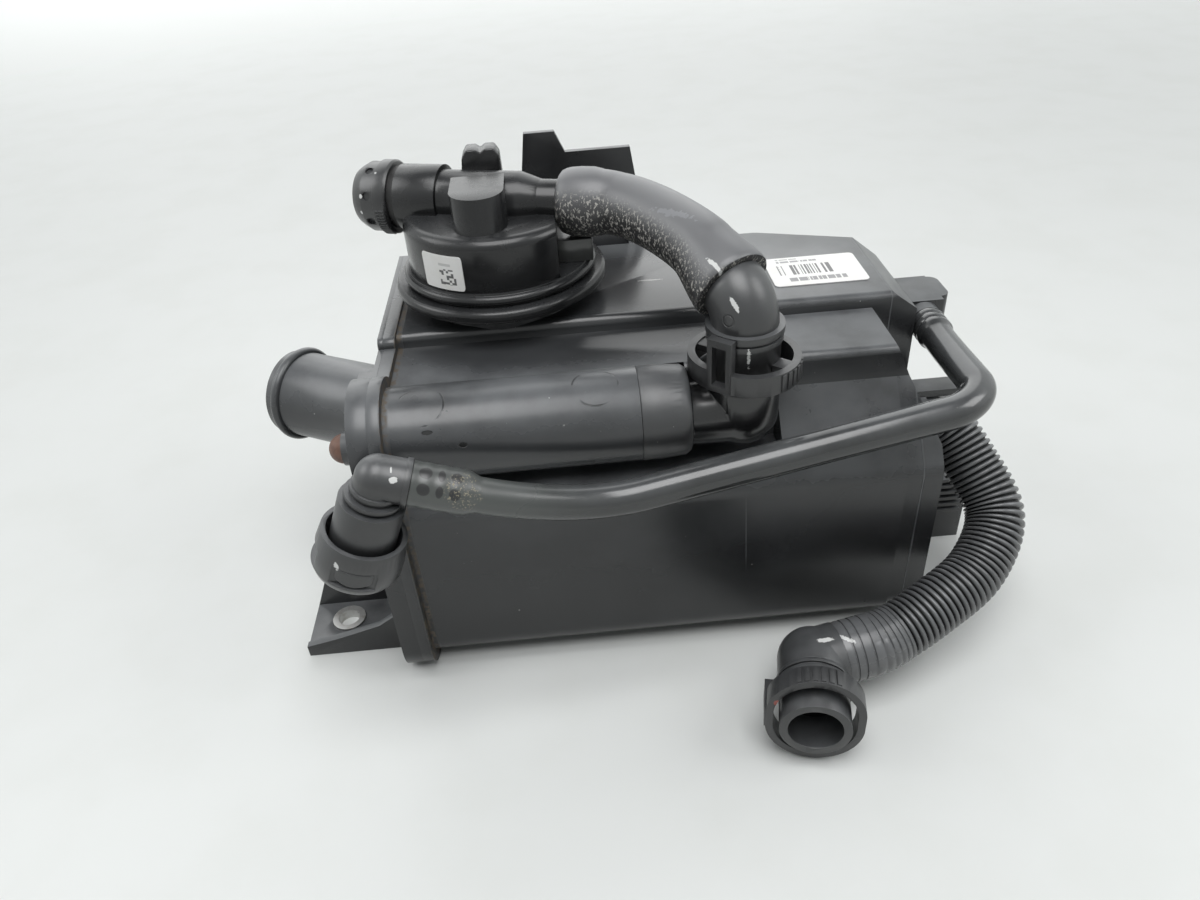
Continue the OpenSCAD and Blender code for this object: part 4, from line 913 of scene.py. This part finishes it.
def pump_label_finish():
    """A small square field of dark cells under a grey dash."""
    finish = label_white("pump_label_white")
    low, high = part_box("pump_label")
    low = Vector(low) / MM - HOME
    high = Vector(high) / MM - HOME
    middle = (low + high) / 2
    cells = finish.add("ShaderNodeTexWhiteNoise")
    snapped = finish.add("ShaderNodeVectorMath")
    snapped.operation = "SNAP"
    snapped.inputs[1].default_value = (CELL_MM * MM, 1.0, CELL_MM * MM)
    finish.feed(snapped.inputs[0], finish.coords)
    finish.feed(cells.inputs["Vector"], snapped.outputs[0])
    dark = finish.math("GREATER_THAN", cells.outputs["Value"], 0.45)
    left = middle.x - 1.5
    square = finish.times(
        dark, finish.between("X", left, middle.x + 4.5), finish.between("Z", low.z + 2.0, low.z + 8.2)
    )
    finish.tint(square, (0.03, 0.03, 0.033), 0.9)
    dash = finish.times(
        finish.between("X", left, middle.x + 3.0), finish.between("Z", low.z + 9.4, low.z + 10.4)
    )
    finish.tint(dash, (0.3, 0.3, 0.3), 0.5)
    return finish.done()


def inner_finish(name, colour, grain_mm):
    """What only a cut shows: granules, felt, plates."""
    finish = Finish(name, colour, 0.7)
    finish.tint(finish.band(finish.noise(grain_mm, 3.0), 0.4, 0.6), tuple(c * 0.5 for c in colour), 0.7)
    finish.raise_by(finish.noise(grain_mm, 2.0), 0.2)
    return finish.done()


# Studio

# Strength of the surroundings where they only light, and where they are seen or reflected
SKY_LIGHT = 0.3
SKY_SHOWN = 0.95
SKY_WHITE = (0.97, 1.0, 0.99, 1.0)
SKY_DARK = (0.1, 0.1, 0.105, 1.0)
# They darken overhead and a little in front: axis, where that starts and ends, and how far it goes
SKY_FADES = (("Z", 0.62, 0.95, 1.0), ("Y", -0.1, -0.8, 0.4))
# Soft lights: name, place, target, size and power
SOFT_LIGHTS = (
    ("far_wall", (-0.15, 2.1, 1.4), (0.0, 0.3, 0.0), 2.6, 22.0),
    ("left_window", (-1.4, 0.1, 1.2), (0.0, 0.0, 0.05), 0.9, 7.0),
    ("right_window", (1.3, -0.3, 1.2), (0.0, 0.0, 0.05), 0.8, 7.0),
    ("ceiling", (0.0, -0.4, 1.25), (0.0, 0.0, 0.0), 0.85, 11.5),
)
FLOOR_HALF_M = 4.0
FLOOR_GLOW = 0.5
SENSOR_MM = 36.0


def studio():
    """Pale floor, white surroundings, soft light from above and the sides, and the photograph's camera."""
    scene = bpy.context.scene
    scene.view_settings.view_transform = "Standard"
    scene.world = bpy.data.worlds.new("pale_sky")
    scene.world.use_nodes = True
    sky = Nodes(scene.world.node_tree)
    backdrop = sky.tree.nodes["Background"]
    strength = sky.add("ShaderNodeMapRange", Value=sky.shown(), To_Min=SKY_LIGHT, To_Max=SKY_SHOWN)
    sky.feed(backdrop.inputs["Strength"], strength.outputs["Result"])
    heading = sky.add("ShaderNodeTexCoord").outputs["Generated"]
    part = sky.add("ShaderNodeSeparateXYZ", Vector=heading).outputs
    overhead, in_front = (sky.band(part[axis], *fade) for axis, *fade in SKY_FADES)
    dark = sky.math("MAXIMUM", overhead, in_front)
    sky.feed(backdrop.inputs["Color"], sky.mixed(dark, SKY_WHITE, SKY_DARK))
    for light in SOFT_LIGHTS:
        soft_light(*light)
    pale_floor()
    photograph_camera()


def soft_light(name, place, target, size, power):
    """A square soft light that looks at a point."""
    light = bpy.data.lights.new(name, "AREA")
    light.size = size
    light.energy = power
    lamp = bpy.data.objects.new(name, light)
    lamp.location = place
    lamp.rotation_euler = (Vector(target) - Vector(place)).to_track_quat("-Z", "Y").to_euler()
    bpy.context.scene.collection.objects.link(lamp)


def pale_floor():
    half = FLOOR_HALF_M
    mesh = bpy.data.meshes.new("floor")
    corners = [(-half, -half, 0), (half, -half, 0), (half, half, 0), (-half, half, 0)]
    mesh.from_pydata(corners, [], [(0, 1, 2, 3)])
    finish = Finish("floor_pale", (0.74, 0.76, 0.75), 0.55)
    finish.tint(finish.band(finish.noise(60.0, 5.0), 0.4, 0.7), (0.7, 0.72, 0.7), 0.5)
    # Far from the object the floor pales into the white surroundings
    far = finish.band(finish.distance((0, 0, 0), (1000, 1000, 1000)), 0.4, 2.6)
    glow = finish.times(far, finish.shown(), FLOOR_GLOW)
    finish.feed(finish.shader.inputs["Emission Strength"], glow)
    mesh.materials.append(finish.done(Emission_Color=SKY_WHITE))
    return new_piece("floor", mesh)


def photograph_camera():
    pitch, yaw, roll = (math.radians(a) for a in (CAMERA_PITCH, CAMERA_YAW, CAMERA_ROLL))
    forward = Vector((math.sin(yaw) * math.cos(pitch), math.cos(yaw) * math.cos(pitch), -math.sin(pitch)))
    level = Vector((math.cos(yaw), -math.sin(yaw), 0.0))
    upright = level.cross(forward)
    right = level * math.cos(roll) - upright * math.sin(roll)
    up = level * math.sin(roll) + upright * math.cos(roll)
    lens = bpy.data.cameras.new("photograph")
    lens.sensor_width = SENSOR_MM
    lens.lens = FOCAL_PX / PHOTO_WIDTH_PX * SENSOR_MM
    lens.clip_start = 0.01
    camera = bpy.data.objects.new("photograph", lens)
    facing = Matrix((right, up, -forward)).transposed().to_4x4()
    camera.matrix_world = Matrix.Translation(at(*CAMERA_MM)) @ facing
    bpy.context.scene.collection.objects.link(camera)
    bpy.context.scene.camera = camera


# Small pieces on the pump and the purge clip


def pump_post(finish):
    """The notched block and the gusset that stand on the pump behind its ports."""
    work = bmesh.new()
    front = [work.verts.new(at(x, POST_FRONT, z)) for x, z in POST_OUTLINE]
    back = [work.verts.new(at(x, POST_BACK, z)) for x, z in POST_OUTLINE]
    work.faces.new(front)
    work.faces.new(back[::-1])
    for i in range(len(POST_OUTLINE)):
        k = (i + 1) % len(POST_OUTLINE)
        work.faces.new((front[k], front[i], back[i], back[k]))
    bmesh.ops.recalc_face_normals(work, faces=work.faces)
    round_edges(work, work.edges[:], POST_EDGE, 3)
    piece = piece_from(work, "pump_post")
    piece.data.materials.append(finish)
    smooth_by_angle(piece.data, 30)
    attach(piece, "root")


def clip_tongue(finish):
    """The springy tongue in the clip's front window, curved as the clip is."""
    axis = heading_from(PURGE_TILT, PURGE_AZIMUTH)
    front = Vector((0, -1, 0))
    side = axis.cross(front)
    columns = TONGUE_COLUMNS
    rows = TONGUE_ROWS
    work = bmesh.new()
    layers = []
    for radius in (CLIP_R - 0.4, CLIP_R - 2.3):
        layer = []
        for i in range(columns + 1):
            turn = TONGUE_HALF_ANGLE * (2 * i / columns - 1)
            out = math.cos(turn) * front + math.sin(turn) * side
            low = TONGUE_BOTTOM - TONGUE_BOW * (turn / TONGUE_HALF_ANGLE) ** 2
            places = [TONGUE_TOP + (low - TONGUE_TOP) * j / rows for j in range(rows + 1)]
            points = [PURGE_PLACE + axis * place + out * radius for place in places]
            layer.append([work.verts.new(at(*point)) for point in points])
        layers.append(layer)
    outer, inner = layers
    edge = [(i, 0) for i in range(columns)] + [(columns, j) for j in range(rows)]
    edge += [(i, rows) for i in range(columns, 0, -1)] + [(0, j) for j in range(rows, 0, -1)]
    for i in range(columns):
        for j in range(rows):
            for layer in layers:
                work.faces.new((layer[i][j], layer[i + 1][j], layer[i + 1][j + 1], layer[i][j + 1]))
    for (i, j), (k, m) in zip(edge, edge[1:] + edge[:1]):
        work.faces.new((outer[i][j], outer[k][m], inner[k][m], inner[i][j]))
    bmesh.ops.recalc_face_normals(work, faces=work.faces)
    sharp = [e for e in work.edges if e.calc_face_angle(0.0) > math.radians(50)]
    round_edges(work, sharp, 0.4, 3)
    piece = piece_from(work, "purge_clip_tongue")
    piece.data.materials.append(finish)
    smooth_by_angle(piece.data, 35)
    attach(piece, "root")


# Pipes and hose


def vent_pipe(finish):
    """Corrugated pipe with a smooth cuff, which thin grooves circle."""
    free_start = VENT_START + Vector((VENT_GRIP, 0, 0))
    knots = [free_start, *VENT_KNOTS, VENT_END + VENT_OUT * VENT_STRAIGHT]
    line = [VENT_START] + route_through(knots, VENT_FIRST_SLOPE, -VENT_OUT * VENT_LAST_SLOPE, 60)
    line.append(VENT_END + VENT_OUT * VENT_SEAT_GAP)
    cuff_start = sum((b - a).length for a, b in zip(line, line[1:])) - CUFF_LEN
    rings = VENT_WAVES * WAVE_RINGS
    places = [0.0, VENT_GRIP / 2]
    places += [VENT_GRIP + (cuff_start - VENT_GRIP) * i / rings for i in range(rings + 1)]
    outer = [VENT_R] * len(places)
    # The cuff swells towards the elbow; each thin groove takes four rings
    stations = [(0.6, 0.0)]
    for groove in CUFF_GROOVES:
        for offset, depth in ((-0.4, 0.0), (-0.12, CUFF_GROOVE_DEPTH), (0.12, CUFF_GROOVE_DEPTH), (0.4, 0.0)):
            stations.append((groove + offset, depth))
    stations += [(CUFF_LEN - 1.4, 0.0), (CUFF_LEN, 0.3)]
    for place, depth in stations:
        places.append(cuff_start + place)
        outer.append(VENT_R + CUFF_SWELL * min(1.0, place / CUFF_SWELL_LEN) - depth)
    bore = [VENT_BORE_R] * len(places)
    piece = lofted_pipe("vent_pipe_corrugated", resampled(line, places), outer, bore, 60)
    CORRUGATION.applied(
        piece, First=VENT_GRIP, Last=cuff_start, Waves=float(VENT_WAVES), Groove_Depth=WAVE_DEPTH,
        Finish=finish,
    )
    smooth_by_angle(piece.data, 50)
    stands_for(piece, "vent_pipe", finish)


def pump_hose(finish):
    """Moulded hose from the pump's right port to the elbow on the scrubber."""
    start = PUMP_CENTRE + PORT_OUT * HOSE_START
    bend_start = start + PORT_OUT * HOSE_LEAD
    elbow_out = heading_from(ELBOW_BEND, ELBOW_AZIMUTH)
    bend = math.radians(ELBOW_BEND)
    arc = (ELBOW_BEND_R * (1 - math.cos(bend)), 0, ELBOW_BEND_R * math.sin(bend))
    elbow_end = ELBOW_PLACE + turned(arc, 0, ELBOW_AZIMUTH) + elbow_out * ELBOW_SEAT_GAP
    bend_end = elbow_end + elbow_out * HOSE_LEAD
    slopes = (PORT_OUT * HOSE_FIRST_SLOPE, -elbow_out * HOSE_LAST_SLOPE)
    body = route_through([bend_start, bend_end], *slopes, 72)
    route = [start + PORT_OUT * place for place, radius in HOSE_GRIP]
    outer = [radius for place, radius in HOSE_GRIP]
    bore = [HOSE_GRIP_BORE_R] * len(HOSE_GRIP)
    for i, point in enumerate(body):
        share = i / (len(body) - 1)
        route.append(point)
        outer.append(HOSE_R + 0.5 * max(0.0, 1 - share * 8) + 0.6 * share**3)
        bore.append(HOSE_BORE_R)
    for place, radius in HOSE_FLARE:
        route.append(bend_end - elbow_out * place)
        outer.append(radius)
        bore.append(HOSE_BORE_R)
    piece = lofted_pipe("pump_hose_moulded", route, outer, bore, 72)
    stands_for(piece, "pump_hose", finish)


def purge_pipe(finish):
    """Thin pipe from the spigot on the right, along the front, to the free elbow on the left."""
    lead_end = PURGE_START - Vector((0, PURGE_LEAD, 0))
    run = (PURGE_LOW - PURGE_AFTER_BEND).normalized()
    sag_start = PURGE_LOW + Vector((PURGE_SAG, 0, 0))
    sleeve_start = PURGE_END + PURGE_OUT * SLEEVE_START
    route = [PURGE_START - Vector((0, place, 0)) for place, radius in PURGE_BARBS]
    outer = [radius for place, radius in PURGE_BARBS]
    body = route_through([lead_end, PURGE_BEFORE_BEND], *PURGE_LEAD_SLOPES, 14)[:-1]
    bend_slopes = ((0, -PURGE_BEND_SLOPE, 0), run * PURGE_BEND_SLOPE)
    body += route_through([PURGE_BEFORE_BEND, PURGE_AFTER_BEND], *bend_slopes, 30)[:-1]
    body += [PURGE_AFTER_BEND.lerp(sag_start, s / 24) for s in range(24)]
    sag_slopes = (run * PURGE_SAG_SLOPE, -PURGE_OUT * PURGE_SLEEVE_SLOPE)
    body += route_through([sag_start, sleeve_start], *sag_slopes, 40)
    route += body
    outer += [PURGE_R] * len(body)
    bore = [PURGE_BORE_R] * len(route)
    # The end is swollen by the barbs in it
    for s in range(1, SLEEVE_RINGS + 1):
        place = SLEEVE_LEN * s / SLEEVE_RINGS
        swell = min(1.0, place / 4.0)
        barb = 0.5 + 0.5 * math.cos(2 * math.pi * (SLEEVE_LEN - place) / SLEEVE_WAVE_PITCH)
        route.append(sleeve_start - PURGE_OUT * place)
        outer.append(PURGE_R + swell * (SLEEVE_SWELL + SLEEVE_WAVE * barb * min(1.0, place / 8.0)))
        bore.append(PURGE_BORE_R if place < 6 else SLEEVE_BORE_R)
    piece = lofted_pipe("purge_pipe_bent", route, outer, bore, 56)
    stands_for(piece, "purge_pipe", finish)


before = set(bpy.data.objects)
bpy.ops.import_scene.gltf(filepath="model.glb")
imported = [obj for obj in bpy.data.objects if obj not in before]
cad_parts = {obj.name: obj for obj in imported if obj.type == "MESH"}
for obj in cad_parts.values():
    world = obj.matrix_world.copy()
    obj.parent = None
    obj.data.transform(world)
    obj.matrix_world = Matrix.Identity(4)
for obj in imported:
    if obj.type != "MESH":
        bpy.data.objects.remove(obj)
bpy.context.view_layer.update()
studio()

CORRUGATION = corrugation()
GRIP_RIBS = grip_ribs()

casing = casing_finish()
pump = pump_finish()
lock_ring = lock_ring_finish()
coupling = coupling_finish()
clip = clip_finish()
SOFT_EDGES = (
    ("canister_shell", "casing", casing, 0.7),
    ("end_cover", "casing", casing, 0.7),
    ("scrubber_cap", "cap", cap_finish(), 0.8),
    ("pump_base", "pump_base", pump, 0.8),
    ("pump_housing", "pump_housing", pump, 1.0),
    ("pump_socket", "socket", socket_finish(), 0.4),
    ("air_coupling", "coupling", coupling, 0.4),
    ("hose_elbow", "connector", hose_elbow_finish(), 0.5),
    ("purge_elbow", "connector", purge_elbow_finish(), 0.5),
    ("vent_elbow", "connector", vent_elbow_finish(), 0.5),
    ("hose_lock_ring", "lock_ring", lock_ring, 0.35),
    ("vent_lock_ring", "lock_ring", lock_ring, 0.35),
    ("purge_clip", "clip", clip, 0.4),
)
for node, slot, finish, edge in SOFT_EDGES:
    stands_for(softened(node, edge), node, finish)

pump_post(pump)
clip_tongue(clip)
vent_pipe(vent_pipe_finish())
pump_hose(hose_finish())
purge_pipe(purge_pipe_finish())
stands_for(rounded_sticker("roof_label", 2.0), "roof_label", roof_label_finish())
stands_for(rounded_sticker("pump_label", 1.5), "pump_label", pump_label_finish())
ribs_on(
    "coupling_grip", PUMP_CENTRE - PORT_OUT * COUPLING_GRIP_OUT, -PORT_OUT, radius=14.1, count=12, first=-150,
    step=5.2, length=3.8, thickness=0.45, finish=coupling,
)

# The other nodes keep their own meshes
PLAIN = (
    (steel_finish("sleeve_steel"), ("bracket_sleeve",)),
    (plug_finish(), ("cover_plug",)),
    (steel_finish("spring_steel"), ("press_springs",)),
    (steel_finish("pin_steel"), ("socket_pins",)),
    (
        seal_finish("seal_black_rubber", (0.02, 0.02, 0.02)),
        ("scrubber_seals", "pump_seal", "air_seal", "vent_seal", "purge_seal"),
    ),
    (seal_finish("seal_red_rubber", (0.22, 0.05, 0.035)), ("hose_seal",)),
    (inner_finish("charcoal", (0.03, 0.03, 0.03), 2.0), ("main_charcoal", "front_charcoal", "scrubber_core")),
    (inner_finish("fleece", (0.6, 0.59, 0.55), 0.5), ("main_fleece_pads", "front_fleece_pads")),
    (
        inner_finish("plate_grey", (0.1, 0.1, 0.1), 1.0),
        ("main_press_plate", "front_press_plate", "pump_motor"),
    ),
)
for finish, nodes in PLAIN:
    for node in nodes:
        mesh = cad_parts[node].data
        mesh.materials.clear()
        mesh.materials.append(finish)
